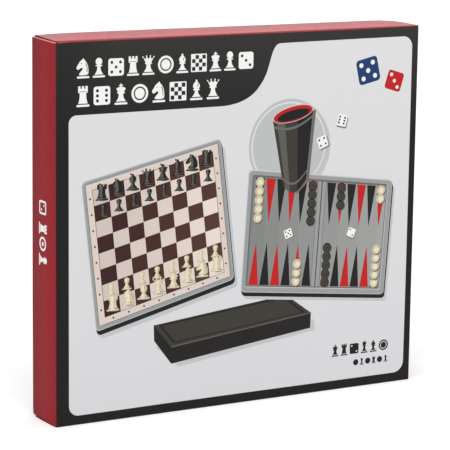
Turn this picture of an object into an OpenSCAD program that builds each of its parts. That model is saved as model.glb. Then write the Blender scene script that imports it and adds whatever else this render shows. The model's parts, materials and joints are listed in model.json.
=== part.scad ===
// Games compendium box: a closed board carton with tuck closures at the top and
// the bottom, standing upright on its bottom closure, with its game set inside.
// Millimetres. Origin: middle of the footprint, on the surface the box stands on.
// +Z is up, the printed front faces -Y, +X is to the right seen from the front.

/* [Carton] */
// Outside width of the carton
carton_w = 360; // [352:1:380]
// Height of the straight front wall, up to the front fold
carton_h = 325; // [322:1:345]
// Outside depth, front face to back face
carton_d = 45; // [45:0.5:50]
// Thickness of the fluted board, and the radius of its folds
board_t = 1.5; // [1.2:0.1:1.6]
// Width of the glued seam flap inside the back panel
glue_flap_w = 20; // [14:1:26]

/* [Closures] */
// Rise of the top lid away from its front fold, in degrees
lid_rise = 1; // [0.5:0.1:1.2]
// Length of each tuck tab below its fold
tab_len = 14; // [11:0.5:14]
// Inward lean of each tuck tab, in degrees
tab_lean = 14; // [12:0.5:15]
// Radius of the rounded lid corners
lid_corner_r = 5; // [3:0.5:6]
// Length of each dust flap, from its fold to its end
dust_len = 45; // [30:1:46]

/* [Insert] */
// Thickness of the insert board
insert_t = 1.8; // [1.2:0.1:2]

/* [Game book] */
// Width of the closed game book
book_w = 330; // [310:1:336]
// Height of the closed game book
book_h = 180; // [174:1:184]
// Thickness of each outer leaf of the book
leaf_t = 15.5; // [13:0.5:15.5]
// Side of one square of the chequered board
square_w = 21; // [18:0.5:21]

/* [Storage base] */
// Height of the storage base as it lies in the box
base_h = 95; // [92:1:96]
// Thickness of the storage base with its lid on
base_t = 36; // [34:0.5:36]
// Wall of the storage base
base_wall = 2; // [1.6:0.1:2.2]

/* [Pieces] */
// Height of the kings
king_h = 29; // [26:0.5:30]
// Radius of the widest chessman base
man_r = 6.2; // [5.6:0.1:6.6]
// Radius of one checker
checker_r = 8; // [7:0.1:8.4]
// Thickness of one checker
checker_h = 5; // [4:0.1:5]
// Side of one die
die_w = 10; // [8:0.5:12]

/* [Hidden] */

t = board_t;
hw = carton_w / 2;             // half width
hd = carton_d / 2;             // half depth
xi = hw - t;                   // inner face of a side panel
yi = hd - t;                   // inner face of the front and back panels
gap = 0.05;                    // running clearance round a fold
side_top = carton_h - 0.1 - t; // fold line of the top dust flaps
side_bot = 2 * t + 0.1;        // fold line of the bottom dust flaps
reach = 2 * yi - 2;            // front fold line to tuck fold line
lid_w = carton_w - 1.2;        // width of the lid and of the bottom closure
tab_w = carton_w - 25;         // width of the tuck tabs at their fold
dust_y0 = -yi + 1.6;           // front edge of a dust flap at its fold
dust_y1 = yi - 4.5;            // back edge of a dust flap at its fold
steel_t = 0.5;                 // thickness of the steel sheets
print_t = 0.4;                 // thickness of the printed sheets
circle_n = 96;

red_board = [0.57, 0.17, 0.20];
black_board = [0.16, 0.16, 0.16];
white_board = [0.92, 0.91, 0.88];
dark_plastic = [0.13, 0.12, 0.12];
steel = [0.70, 0.71, 0.72];
cream = [0.87, 0.81, 0.72];
brown = [0.32, 0.20, 0.15];

// ---------------------------------------------------------------- board helpers

// a bar of round section along X, its axis on the fold line
module fold_x(len) { rotate([0, 90, 0]) cylinder(r = t, h = len, center = true, $fn = circle_n); }

// a bar of round section along Y, its axis on the fold line
module fold_y(y0, y1) { translate([0, y0, 0]) rotate([-90, 0, 0]) cylinder(r = t, h = y1 - y0, $fn = circle_n); }

// what a moving flap leaves free round the fold it turns on
module clear_x(len) { rotate([0, 90, 0]) cylinder(r = t + gap, h = len, center = true, $fn = circle_n); }
module clear_y(len) { rotate([90, 0, 0]) cylinder(r = t + gap, h = len, center = true, $fn = circle_n); }

// outline of a tuck tab: x across, y from the fold to the free edge, with round corners
module tab_outline(w, l, r) {
    intersection() {
        translate([-w / 2, 0]) square([w, l]);
        union() {
            translate([-w / 2, 0]) square([w, l - r]);
            translate([-w / 2 + r, 0]) square([w - 2 * r, l]);
            for (s = [-1, 1]) translate([s * (w / 2 - r), l - r]) circle(r = r, $fn = circle_n);
        }
    }
}

// ---------------------------------------------------------------- carton walls

module front_panel() {
    color(black_board) union() {
        translate([-xi, -hd, t]) cube([2 * xi, t, carton_h - t]);
        translate([0, -yi, carton_h]) fold_x(2 * xi);
        translate([0, -yi, t]) fold_x(2 * xi);
    }
}

module back_panel() {
    color(black_board) translate([-xi, yi, 0]) cube([2 * xi, t, carton_h - t]);
}

// one side wall with the vertical folds at its two edges and the folds of its dust flaps
module side_wall() {
    union() {
        translate([0, 0, side_bot]) linear_extrude(side_top - side_bot) {
            translate([-hw, -yi]) square([t, 2 * yi]);
            intersection() {
                translate([-xi, -yi]) circle(r = t, $fn = circle_n);
                translate([-hw, -hd]) square([t, t]);
            }
            intersection() {
                translate([-xi, yi]) circle(r = t, $fn = circle_n);
                translate([-hw, yi]) square([t, t]);
            }
        }
        translate([-xi, 0, side_top]) fold_y(-yi + 1.6, yi);
        translate([-xi, 0, side_bot]) fold_y(-yi + 1.6, yi);
    }
}

module left_side_panel() { color(red_board) side_wall(); }
module right_side_panel() { color(red_board) mirror([1, 0, 0]) side_wall(); }

// the seam flap: folded off the left side wall and glued inside the back panel
module glue_flap() {
    color(white_board) translate([-xi, yi, 0]) rotate([90, 0, 0]) linear_extrude(t)
        polygon([[0, 18], [glue_flap_w, 30], [glue_flap_w, carton_h - 30], [0, carton_h - 18]]);
}

// ---------------------------------------------------------------- closures
// Drawn with the front fold line on the X axis, the plate running along +Y,
// the outer face up. Two short slits part the tuck fold from the flat shoulders
// at the corners.

// The plate starts a little past the round fold, flat across its thickness, so that
// it can turn over until it lies out in front.
module closure_plate(y_end) {
    r = lid_corner_r;
    y0 = t + gap + 0.01;
    union() {
        linear_extrude(t) union() {
            translate([-lid_w / 2, y0]) square([lid_w, reach - 5 - y0]);
            translate([-tab_w / 2, y0]) square([tab_w, reach - y0]);
            for (s = [-1, 1]) {
                translate([s * (tab_w / 2 + 0.5 + lid_w / 2 - r) / 2, (y0 + y_end) / 2])
                    square([lid_w / 2 - r - tab_w / 2 - 0.5, y_end - y0], center = true);
                translate([s * (lid_w / 2 - r), (y0 + y_end - r) / 2]) square([2 * r, y_end - r - y0], center = true);
                translate([s * (lid_w / 2 - r), y_end - r]) circle(r = r, $fn = circle_n);
            }
        }
        translate([0, reach, 0]) fold_x(tab_w);
    }
}

module tuck_tab() {
    translate([0, reach, 0]) difference() {
        rotate([-(90 + tab_lean), 0, 0]) linear_extrude(t) tab_outline(tab_w - 1, tab_len, 8);
        clear_x(carton_w);
    }
}

module at_top() { translate([0, -yi, carton_h]) rotate([lid_rise, 0, 0]) children(); }
module at_bottom() { translate([0, -yi, t]) mirror([0, 0, 1]) children(); }

module top_lid_panel() { color(red_board) at_top() closure_plate(2 * yi + 1.3); }
module top_tuck_tab() { color(white_board) at_top() tuck_tab(); }
module bottom_closure_panel() { color(black_board) at_bottom() closure_plate(reach + t); }
module bottom_tuck_tab() { color(white_board) at_bottom() tuck_tab(); }

// Drawn with the side fold line on the Y axis and the flap running along +X.
// The flap narrows towards its end so that it passes the lid and the tuck tab.
module dust_flap() {
    y_front_end = -yi + 0.3 * dust_len + 1.6;
    difference() {
        linear_extrude(t) polygon([
            [0, dust_y0], [4, dust_y0], [dust_len - 6, y_front_end - 2], [dust_len, y_front_end + 4],
            [dust_len, yi - 16], [dust_len - 5, yi - 11], [8, dust_y1], [0, dust_y1]
        ]);
        clear_y(4 * yi);
    }
}

module top_dust_flap_left() { color(white_board) translate([-xi, 0, side_top]) dust_flap(); }
module top_dust_flap_right() { color(white_board) mirror([1, 0, 0]) translate([-xi, 0, side_top]) dust_flap(); }
module bottom_dust_flap_left() { color(white_board) translate([-xi, 0, side_bot]) mirror([0, 0, 1]) dust_flap(); }
module bottom_dust_flap_right() { color(white_board) mirror([1, 0, 0]) translate([-xi, 0, side_bot]) mirror([0, 0, 1]) dust_flap(); }

// ---------------------------------------------------------------- insert

ins_x = xi - 2.5;          // outside half width of the insert
ins_y0 = -yi + 0.5;        // front edges
ins_y1 = yi - t - 0.3;     // outer face of its back wall
ins_z0 = side_bot + 0.2;   // feet
ins_low = 17;              // underside of the lower shelf
ins_mid = ins_low + insert_t + base_h + 4.2;
ins_top = carton_h - 19;

module insert_tray() {
    color(white_board) union() {
        translate([-ins_x, ins_y1 - insert_t, ins_low]) cube([2 * ins_x, insert_t, ins_top - ins_low]);
        for (s = [-1, 1]) {
            translate([s * (ins_x - insert_t / 2), (ins_y0 + ins_y1) / 2, (ins_low + ins_top) / 2])
                cube([insert_t, ins_y1 - ins_y0, ins_top - ins_low], center = true);
            translate([s * (ins_x - insert_t / 2), (ins_y0 + yi - 6.5) / 2, (ins_z0 + ins_low + 4) / 2])
                cube([insert_t, yi - 6.5 - ins_y0, ins_low + 4 - ins_z0], center = true);
        }
        for (z = [ins_low, ins_mid])
            translate([-ins_x, ins_y0, z]) cube([2 * ins_x, ins_y1 - ins_y0, insert_t]);
    }
}

// ---------------------------------------------------------------- game book
// Two outer leaves with a clear page between them, closed, standing on the upper shelf.

bk_z0 = ins_mid + insert_t + 0.2;
bk_z1 = bk_z0 + book_h;
bk_zc = (bk_z0 + bk_z1) / 2;
bk_x = book_w / 2;
leaf_a0 = -yi + 2;                     // outer face of the chess leaf
leaf_a1 = leaf_a0 + leaf_t;
leaf_b1 = ins_y1 - insert_t - 0.4;     // outer face of the backgammon leaf
leaf_b0 = leaf_b1 - leaf_t;
page_c = (leaf_a1 + leaf_b0) / 2;
page_t = leaf_b0 - leaf_a1 - 0.4;
pin_x = -bk_x - 3.4;
pin_r = 1.5;
knuckle = (book_h - 20) / 5;

// one hinge knuckle of the book, seg counted from the bottom, reaching to y_leaf
module book_knuckle(seg, y_leaf) {
    z0 = bk_z0 + 10 + seg * knuckle;
    difference() {
        union() {
            translate([pin_x, page_c, z0 + 0.3]) cylinder(r = 2.8, h = knuckle - 0.6, $fn = circle_n);
            translate([pin_x, min(page_c, y_leaf), z0 + 0.3])
                cube([-bk_x - 0.3 - pin_x, max(abs(y_leaf - page_c), 2), knuckle - 0.6]);
            translate([pin_x, y_leaf > page_c ? y_leaf - 2 : y_leaf, z0 + 0.3])
                cube([-bk_x + 1 - pin_x, 1.9, knuckle - 0.6]);
        }
        translate([pin_x, page_c, z0 - 1]) cylinder(r = pin_r + 0.05, h = knuckle + 2, $fn = circle_n);
    }
}

// a leaf: a shallow tray whose floor is its outer face
module leaf_box(y0, y1, floor_y, open_dir) {
    difference() {
        translate([-bk_x, y0, bk_z0]) cube([book_w, y1 - y0, book_h]);
        translate([-bk_x + 2.4, open_dir > 0 ? y0 + 2 : y0 - 1, bk_z0 + 2.4])
            cube([book_w - 4.8, y1 - y0 - 1, book_h - 4.8]);
    }
}

module chess_leaf_shell() {
    color(dark_plastic) union() {
        leaf_box(leaf_a0, leaf_a1, leaf_a0, 1);
        for (k = [0, 4]) book_knuckle(k, leaf_a1 - 2);
    }
}

module chess_steel_sheet() {
    color(steel) translate([-bk_x + 3, leaf_a0 + 2, bk_z0 + 3]) cube([book_w - 6, steel_t, book_h - 6]);
}

module board_squares(parity) {
    for (i = [0:7], j = [0:7])
        if ((i + j) % 2 == parity)
            translate([(i - 4) * square_w + 0.05, leaf_a0 + 2 + steel_t, bk_zc + (j - 4) * square_w + 0.05])
                cube([square_w - 0.1, print_t, square_w - 0.1]);
}

module chess_light_squares() { color(cream) board_squares(1); }
module chess_dark_squares() { color(brown) board_squares(0); }

module backgammon_leaf_shell() {
    color(dark_plastic) union() {
        leaf_box(leaf_b0, leaf_b1, leaf_b1, -1);
        for (k = [1, 3]) book_knuckle(k, leaf_b0 + 2);
    }
}

module backgammon_steel_sheet() {
    color(steel) translate([-bk_x + 3, leaf_b1 - 2 - steel_t, bk_z0 + 3]) cube([book_w - 6, steel_t, book_h - 6]);
}

field_y = leaf_b1 - 2 - steel_t - print_t;

module backgammon_field() {
    color([0.60, 0.62, 0.63]) translate([-bk_x + 6, field_y, bk_z0 + 6]) cube([book_w - 12, print_t, book_h - 12]);
}

point_w = (book_w - 12 - 16) / 12;
module points(parity) {
    for (i = [0:11], up = [0, 1])
        if ((i + up) % 2 == parity)
            translate([-bk_x + 6 + i * point_w + (i > 5 ? 16 : 0) + 0.2, field_y, up == 0 ? bk_z0 + 6.2 : bk_z1 - 6.2])
                rotate([90, 0, 0]) linear_extrude(0.3)
                    polygon([[0, 0], [point_w - 0.4, 0], [point_w / 2 - 0.2, (up == 0 ? 1 : -1) * book_h * 0.38]]);
}

module backgammon_dark_points() { color([0.12, 0.12, 0.12]) points(0); }
module backgammon_light_points() { color([0.70, 0.16, 0.20]) points(1); }

module centre_page_frame() {
    color(dark_plastic) union() {
        difference() {
            translate([-bk_x, page_c - page_t / 2, bk_z0]) cube([book_w, page_t, book_h]);
            translate([-bk_x + 10, page_c - page_t, bk_z0 + 10]) cube([book_w - 20, 2 * page_t, book_h - 20]);
        }
        book_knuckle(2, page_c + 1);
    }
}

module centre_page() {
    color([0.85, 0.9, 0.92]) translate([-bk_x + 10, page_c - 0.6, bk_z0 + 10]) cube([book_w - 20, 1.2, book_h - 20]);
}

module book_hinge_pin() {
    color(steel) translate([pin_x, page_c, bk_z0 + 8]) cylinder(r = pin_r, h = book_h - 16, $fn = circle_n);
}

// ---------------------------------------------------------------- storage base
// Lies with its open side to the front, closed by its lid, on the lower shelf.

bs_z0 = ins_low + insert_t + 0.2;
bs_z1 = bs_z0 + base_h;
bs_x = book_w / 2;
bs_y1 = ins_y1 - insert_t - 0.6;   // underside of the base, towards the back of the box
bs_y0 = bs_y1 - base_t;            // outer face of its lid
floor_y = bs_y1 - base_wall;
men_y = floor_y - steel_t;         // the face the pieces stand on

module base_tray() {
    color(dark_plastic) difference() {
        translate([-bs_x, bs_y0 + 2, bs_z0]) cube([2 * bs_x, base_t - 2, base_h]);
        translate([-bs_x + base_wall, bs_y0, bs_z0 + base_wall])
            cube([2 * (bs_x - base_wall), floor_y - bs_y0, base_h - 2 * base_wall]);
    }
}

module base_steel_sheet() {
    color(steel) translate([-bs_x + base_wall + 0.3, men_y, bs_z0 + base_wall + 0.3])
        cube([2 * (bs_x - base_wall) - 0.6, steel_t, base_h - 2 * base_wall - 0.6]);
}

module base_divider() {
    color(dark_plastic) union() {
        for (x = [-28, 92]) translate([x, men_y - 22, bs_z0 + base_wall + 0.2]) cube([1.6, 22, base_h - 2 * base_wall - 0.4]);
        translate([-bs_x + base_wall + 0.2, men_y - 12, (bs_z0 + bs_z1) / 2 - 0.8]) cube([bs_x - base_wall - 28, 12, 1.6]);
    }
}

module base_lid() {
    color(dark_plastic) union() {
        translate([-bs_x, bs_y0, bs_z0]) cube([2 * bs_x, 1.95, base_h]);
        difference() {
            translate([-bs_x + base_wall + 0.2, bs_y0 + 1.9, bs_z0 + base_wall + 0.2])
                cube([2 * (bs_x - base_wall) - 0.4, 2, base_h - 2 * base_wall - 0.4]);
            translate([-bs_x + base_wall + 1.8, bs_y0, bs_z0 + base_wall + 1.8])
                cube([2 * (bs_x - base_wall) - 3.6, 6, base_h - 2 * base_wall - 3.6]);
        }
    }
}

// ---------------------------------------------------------------- chessmen
// Each is drawn standing on z = 0 and turned so that it stands on the steel sheet.

mag_r = 3.4;
mag_h = 1.6;
col = function(i) -bs_x + base_wall + 9 + i * 16.5;
row_z = [bs_z0 + base_wall + 9, bs_z0 + base_wall + 28, bs_z1 - base_wall - 28, bs_z1 - base_wall - 9];

module stand(i, j) { translate([col(i), men_y, row_z[j]]) rotate([90, 0, 0]) children(); }
module magnet_seat() { translate([0, 0, -0.1]) cylinder(r = mag_r + 0.1, h = mag_h + 0.2, $fn = circle_n); }

// turned foot and stem shared by every man: h is the height of the stem's top
module stem(r, h, neck) {
    rotate_extrude($fn = circle_n) polygon([
        [0, 0], [r, 0], [r, 2.0], [r - 0.7, 2.8], [r - 1.6, 3.4], [neck + 0.9, 5],
        [neck, h * 0.62], [neck * 0.9, h - 1.6], [neck + 1.3, h - 1.2], [neck + 1.3, h - 0.4], [neck * 0.9, h], [0, h]
    ]);
}

module pawn() {
    difference() {
        union() { stem(man_r - 0.7, 12, 1.9); translate([0, 0, 14]) sphere(r = 2.9, $fn = circle_n); }
        magnet_seat();
    }
}

module rook() {
    difference() {
        union() { stem(man_r - 0.3, 15, 2.8); translate([0, 0, 14.9]) cylinder(r = 4.3, h = 4.6, $fn = circle_n); }
        translate([0, 0, 17.6]) cylinder(r = 2.8, h = 4, $fn = circle_n);
        for (a = [0, 60, 120]) rotate([0, 0, a]) translate([-6, -0.7, 18]) cube([12, 1.4, 4]);
        magnet_seat();
    }
}

module knight() {
    difference() {
        union() {
            stem(man_r - 0.3, 9, 3.2);
            translate([0, 2.1, 8.6]) rotate([90, 0, 0]) linear_extrude(4.2) polygon([
                [-3.6, 0], [3.4, 0], [3.9, 2.4], [3.6, 5.4], [2.6, 8.6], [1.2, 10.8], [0.6, 12.6], [-0.4, 11.2],
                [-2.2, 10.2], [-4.6, 7.6], [-5.2, 6.2], [-4.4, 5.2], [-2.2, 6.2], [-1.2, 5.4], [-2.8, 2.8]
            ]);
        }
        magnet_seat();
    }
}

module bishop() {
    difference() {
        union() {
            stem(man_r - 0.2, 16.5, 2.2);
            translate([0, 0, 16.4]) rotate_extrude($fn = circle_n)
                polygon([[0, 0], [2.2, 0], [3.3, 1.8], [3.2, 3.2], [1.6, 6], [0.9, 6.6], [0.9, 7.4], [0, 7.8]]);
        }
        translate([0.8, -3, 21]) rotate([0, 35, 0]) cube([0.8, 6, 4]);
        magnet_seat();
    }
}

module queen() {
    difference() {
        union() {
            stem(man_r, 19, 2.4);
            translate([0, 0, 18.9]) rotate_extrude($fn = circle_n)
                polygon([[0, 0], [2.4, 0], [4.1, 4.8], [3.0, 4.8], [1.4, 4.0], [1.4, 5.2], [0, 6.2]]);
        }
        for (a = [0:60:179]) rotate([0, 0, a + 15]) translate([-6, -0.6, 22.8]) cube([12, 1.2, 2]);
        magnet_seat();
    }
}

module king() {
    difference() {
        union() {
            stem(man_r, 20, 2.6);
            translate([0, 0, 19.9]) rotate_extrude($fn = circle_n)
                polygon([[0, 0], [2.5, 0], [3.9, 4.2], [2.6, 5.4], [0, 5.9]]);
            translate([-0.8, -0.8, 25]) cube([1.6, 1.6, king_h - 25]);
            translate([-1.9, -0.8, king_h - 2.6]) cube([3.8, 1.6, 1.3]);
        }
        magnet_seat();
    }
}

man_dark = [0.20, 0.12, 0.09];
man_light = [0.90, 0.84, 0.72];

module dark_pawns() { color(man_dark) for (i = [0:7]) stand(i, 1) pawn(); }
module dark_rooks() { color(man_dark) for (i = [0, 7]) stand(i, 0) rook(); }
module dark_knights() { color(man_dark) for (i = [1, 6]) stand(i, 0) knight(); }
module dark_bishops() { color(man_dark) for (i = [2, 5]) stand(i, 0) bishop(); }
module dark_queen() { color(man_dark) stand(3, 0) queen(); }
module dark_king() { color(man_dark) stand(4, 0) king(); }
module light_pawns() { color(man_light) for (i = [0:7]) stand(i, 2) pawn(); }
module light_rooks() { color(man_light) for (i = [0, 7]) stand(i, 3) rook(); }
module light_knights() { color(man_light) for (i = [1, 6]) stand(i, 3) knight(); }
module light_bishops() { color(man_light) for (i = [2, 5]) stand(i, 3) bishop(); }
module light_queen() { color(man_light) stand(3, 3) queen(); }
module light_king() { color(man_light) stand(4, 3) king(); }

module chessman_magnets() {
    color(steel) for (i = [0:7], j = [0:3]) stand(i, j) cylinder(r = mag_r, h = mag_h, $fn = circle_n);
}

// ---------------------------------------------------------------- checkers, dice

// stacks of five, lying along the depth of the base
stack_x = function(i) -16 + i * 18.2;
stack_z = bs_z0 + base_wall + 20;
module in_stack(i, k) { translate([stack_x(i), men_y - k * (checker_h + 0.05), stack_z]) rotate([90, 0, 0]) children(); }

module checker() {
    difference() {
        cylinder(r = checker_r, h = checker_h, $fn = circle_n);
        translate([0, 0, -0.1]) cylinder(r = 3.1, h = 1.5, $fn = circle_n);
        translate([0, 0, checker_h - 0.6]) difference() {
            cylinder(r = checker_r - 1.4, h = 1, $fn = circle_n);
            translate([0, 0, -0.1]) cylinder(r = checker_r - 3, h = 2, $fn = circle_n);
        }
    }
}

module light_checkers() { color([0.93, 0.91, 0.86]) for (i = [0:2], k = [0:4]) in_stack(i, k) checker(); }
module dark_checkers() { color([0.62, 0.13, 0.16]) for (i = [3:5], k = [0:4]) in_stack(i, k) checker(); }
module checker_magnets() { color(steel) for (i = [0:5], k = [0:4]) in_stack(i, k) cylinder(r = 3, h = 1.3, $fn = circle_n); }

// pips of one face, on a grid of thirds
pip_sets = [
    [], [[0, 0]], [[-1, -1], [1, 1]], [[-1, -1], [0, 0], [1, 1]], [[-1, -1], [1, 1], [-1, 1], [1, -1]],
    [[-1, -1], [1, 1], [-1, 1], [1, -1], [0, 0]], [[-1, -1], [-1, 0], [-1, 1], [1, -1], [1, 0], [1, 1]]
];
module face_pips(n) {
    for (p = pip_sets[n])
        translate([p[0] * die_w * 0.27, p[1] * die_w * 0.27, die_w / 2 - 0.5]) cylinder(r = die_w * 0.085, h = 1, $fn = 32);
}
module die() {
    difference() {
        intersection() {
            cube(die_w, center = true);
            sphere(r = die_w * 0.75, $fn = circle_n);
        }
        face_pips(1);
        rotate([180, 0, 0]) face_pips(6);
        rotate([90, 0, 0]) face_pips(2);
        rotate([-90, 0, 0]) face_pips(5);
        rotate([0, 90, 0]) face_pips(3);
        rotate([0, -90, 0]) face_pips(4);
    }
}

module dice() {
    color([0.95, 0.94, 0.92]) for (i = [0, 1])
        translate([112 + i * 26, men_y - die_w / 2 - 0.05, bs_z0 + base_wall + 16]) rotate([0, i * 90, i * 90]) die();
}

module doubling_cube() {
    w = die_w * 1.4;
    color([0.90, 0.88, 0.84]) translate([125, men_y - w / 2 - 0.05, bs_z1 - base_wall - 26])
        intersection() { cube(w, center = true); sphere(r = w * 0.74, $fn = circle_n); }
}

// a folded leaflet between the book and the front panel
module rules_leaflet() {
    y0 = -yi + 0.6;
    color([0.96, 0.96, 0.95]) union() {
        translate([-70, y0, bk_z0 + 2]) cube([140, 0.35, book_h - 10]);
        translate([-70, y0 + 0.65, bk_z0 + 2]) cube([140, 0.35, book_h - 10]);
        translate([-70, y0 + 0.3, bk_z0 + 2]) cube([0.5, 0.4, book_h - 10]);
    }
}

front_panel();
back_panel();
left_side_panel();
right_side_panel();
glue_flap();
top_lid_panel();
top_tuck_tab();
top_dust_flap_left();
top_dust_flap_right();
bottom_closure_panel();
bottom_tuck_tab();
bottom_dust_flap_left();
bottom_dust_flap_right();
insert_tray();
chess_leaf_shell();
chess_steel_sheet();
chess_light_squares();
chess_dark_squares();
backgammon_leaf_shell();
backgammon_steel_sheet();
backgammon_field();
backgammon_dark_points();
backgammon_light_points();
centre_page_frame();
centre_page();
book_hinge_pin();
base_tray();
base_steel_sheet();
base_divider();
base_lid();
dark_pawns();
dark_rooks();
dark_knights();
dark_bishops();
dark_queen();
dark_king();
light_pawns();
light_rooks();
light_knights();
light_bishops();
light_queen();
light_king();
chessman_magnets();
light_checkers();
dark_checkers();
checker_magnets();
dice();
doubling_cube();
rules_leaflet();
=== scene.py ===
import bpy, json, math
import numpy as np
from mathutils import Matrix, Vector
from mathutils.geometry import delaunay_2d_cdt


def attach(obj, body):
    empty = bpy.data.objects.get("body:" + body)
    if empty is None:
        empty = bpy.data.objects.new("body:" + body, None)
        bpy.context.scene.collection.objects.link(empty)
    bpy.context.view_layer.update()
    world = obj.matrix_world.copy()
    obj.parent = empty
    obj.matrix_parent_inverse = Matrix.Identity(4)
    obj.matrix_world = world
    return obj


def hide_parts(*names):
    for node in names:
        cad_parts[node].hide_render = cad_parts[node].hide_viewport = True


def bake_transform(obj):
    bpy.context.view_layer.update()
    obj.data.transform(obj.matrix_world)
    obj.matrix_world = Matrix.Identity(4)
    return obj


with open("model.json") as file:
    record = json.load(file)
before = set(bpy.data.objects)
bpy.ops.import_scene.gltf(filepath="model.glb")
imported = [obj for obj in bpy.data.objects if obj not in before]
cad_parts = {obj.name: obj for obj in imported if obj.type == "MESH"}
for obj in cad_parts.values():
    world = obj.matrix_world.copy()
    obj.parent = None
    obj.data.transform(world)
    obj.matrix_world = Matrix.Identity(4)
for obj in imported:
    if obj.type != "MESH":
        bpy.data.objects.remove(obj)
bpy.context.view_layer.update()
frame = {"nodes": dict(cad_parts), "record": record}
NODES = frame["nodes"]
MM = 0.001
PI = math.pi

# ------------------------------------------------------------------ node helpers


class Tree:
    """Short names for building a material's node tree."""

    def __init__(self, name):
        self.mat = bpy.data.materials.new(name)
        self.mat.use_nodes = True
        self.t = self.mat.node_tree
        self.t.nodes.clear()
        self.out = self.t.nodes.new("ShaderNodeOutputMaterial")
        self.b = self.t.nodes.new("ShaderNodeBsdfPrincipled")
        self.t.links.new(self.b.outputs[0], self.out.inputs[0])
        self.co = self.t.nodes.new("ShaderNodeTexCoord").outputs["Object"]
        self._xyz = None

    def put(self, socket, value):
        if isinstance(value, bpy.types.NodeSocket):
            self.t.links.new(value, socket)
        else:
            socket.default_value = value

    def math(self, op, a, b=0.0, c=0.0, clamp=False):
        n = self.t.nodes.new("ShaderNodeMath")
        n.operation = op
        n.use_clamp = clamp
        for i, v in enumerate((a, b, c)):
            self.put(n.inputs[i], v)
        return n.outputs[0]

    def xyz(self):
        if self._xyz is None:
            n = self.t.nodes.new("ShaderNodeSeparateXYZ")
            self.put(n.inputs[0], self.co)
            self._xyz = n.outputs
        return self._xyz

    def noise(self, scale, detail=2.0, rough=0.5, stretch=None, kind="ShaderNodeTexNoise"):
        n = self.t.nodes.new(kind)
        co = self.co
        if stretch:
            m = self.t.nodes.new("ShaderNodeMapping")
            self.put(m.inputs["Vector"], co)
            m.inputs["Scale"].default_value = stretch
            co = m.outputs[0]
        self.put(n.inputs["Vector"], co)
        n.inputs["Scale"].default_value = scale
        if kind == "ShaderNodeTexNoise":
            n.inputs["Detail"].default_value = detail
            n.inputs["Roughness"].default_value = rough
        return n.outputs[0]

    def span(self, v, a, b, c, d):
        n = self.t.nodes.new("ShaderNodeMapRange")
        self.put(n.inputs["Value"], v)
        for k, x in zip(("From Min", "From Max", "To Min", "To Max"), (a, b, c, d)):
            n.inputs[k].default_value = x
        return n.outputs[0]

    def mix(self, f, a, b):
        n = self.t.nodes.new("ShaderNodeMix")
        n.data_type = "RGBA"
        self.put(n.inputs[0], f)
        self.put(n.inputs[6], (*a, 1) if isinstance(a, tuple) else a)
        self.put(n.inputs[7], (*b, 1) if isinstance(b, tuple) else b)
        return n.outputs[2]

    def sine(self, v, pitch):
        return self.math("SINE", self.math("MULTIPLY", v, 2 * PI / pitch))

    def bump(self, height, distance, strength=1.0, normal=None):
        n = self.t.nodes.new("ShaderNodeBump")
        self.put(n.inputs["Height"], height)
        n.inputs["Distance"].default_value = distance
        n.inputs["Strength"].default_value = strength
        if normal is not None:
            self.put(n.inputs["Normal"], normal)
        return n.outputs[0]


def lin(r, g, b):
    """Linear colour from 0..255 display values."""
    f = lambda c: c / 12.92 if c <= 0.04045 else ((c + 0.055) / 1.055) ** 2.4
    return tuple(f(x / 255) for x in (r, g, b))


def pr(r, g, b):
    """Ink colour that shows as these display values under this studio's light."""
    return tuple(max(0.0025, (x - 0.021) / 1.08) for x in lin(r, g, b))


def tone(c, k):
    return tuple(min(1.0, x * k) for x in c)


def ink(name, rgb, rough=0.36, spec=0.5, mottle=0.05, slow=0.03, coat=0.0, flute="X", fold_rub_and_glint=None, grad=(), relief=1.0):
    """Printed and film-laminated board: fine ink mottle, slow tone drift, the faint washboard of the flutes under the
    liner, where asked for, paler ink along the folds (rubbed ink, and on the walls' red a painted highlight), and grad
    paints shade and reflection as a ramp to another tone along an axis."""
    t = Tree(name)
    fine = t.noise(1400, 3, 0.6)
    wide = t.noise(22, 2, 0.5)
    col = t.mix(fine, tone(rgb, 1 - mottle), tone(rgb, 1 + mottle))
    col = t.mix(wide, tone(rgb, 1 - slow), col) if slow else col
    # painted shading: the colour ramps to a darker or greyer copy along an axis
    for axis, a, b, far, most in grad:
        f = t.span(t.xyz()[axis], a, b, 0.0, most)
        col = t.mix(f, col, t.mix(fine, tone(far, 1 - mottle), tone(far, 1 + mottle)))
    # paler ink along the folds: rubbed ink, and on the walls' red a painted highlight as well
    if fold_rub_and_glint:
        rub, pale, lines = fold_rub_and_glint
        m = None
        for axis, at, width in lines:
            d = t.math("ABSOLUTE", t.math("SUBTRACT", t.xyz()[axis], at))
            k = t.span(d, 0.0, width, 1.0, 0.0)
            m = k if m is None else t.math("MAXIMUM", m, k)
        grit = t.span(t.noise(380, 5, 0.65), 0.42, 0.68, 0.0, 1.0)
        m = t.math("MULTIPLY", t.math("MULTIPLY", m, grit), rub, clamp=True)
        col = t.mix(m, col, pale)
    t.put(t.b.inputs["Base Color"], col)
    rv = t.noise(160, 4, 0.6)
    t.put(t.b.inputs["Roughness"], t.span(rv, 0.3, 0.7, rough - 0.04, rough + 0.05))
    t.b.inputs["Specular IOR Level"].default_value = spec
    t.b.inputs["Coat Weight"].default_value = coat
    t.b.inputs["Coat Roughness"].default_value = 0.18
    axis = {"X": 0, "Y": 1, "Z": 2}[flute]
    washboard = t.math("ADD", t.math("MULTIPLY", t.sine(t.xyz()[axis], 0.0023), 0.35), t.math("MULTIPLY", t.noise(55, 3, 0.55), 1.6))
    n1 = t.bump(washboard, 0.00006 * relief, 0.35)
    n2 = t.bump(t.noise(2600, 2, 0.5), 0.00001 * relief, 0.35, n1)
    t.put(t.b.inputs["Normal"], n2)
    return t.mat


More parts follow.
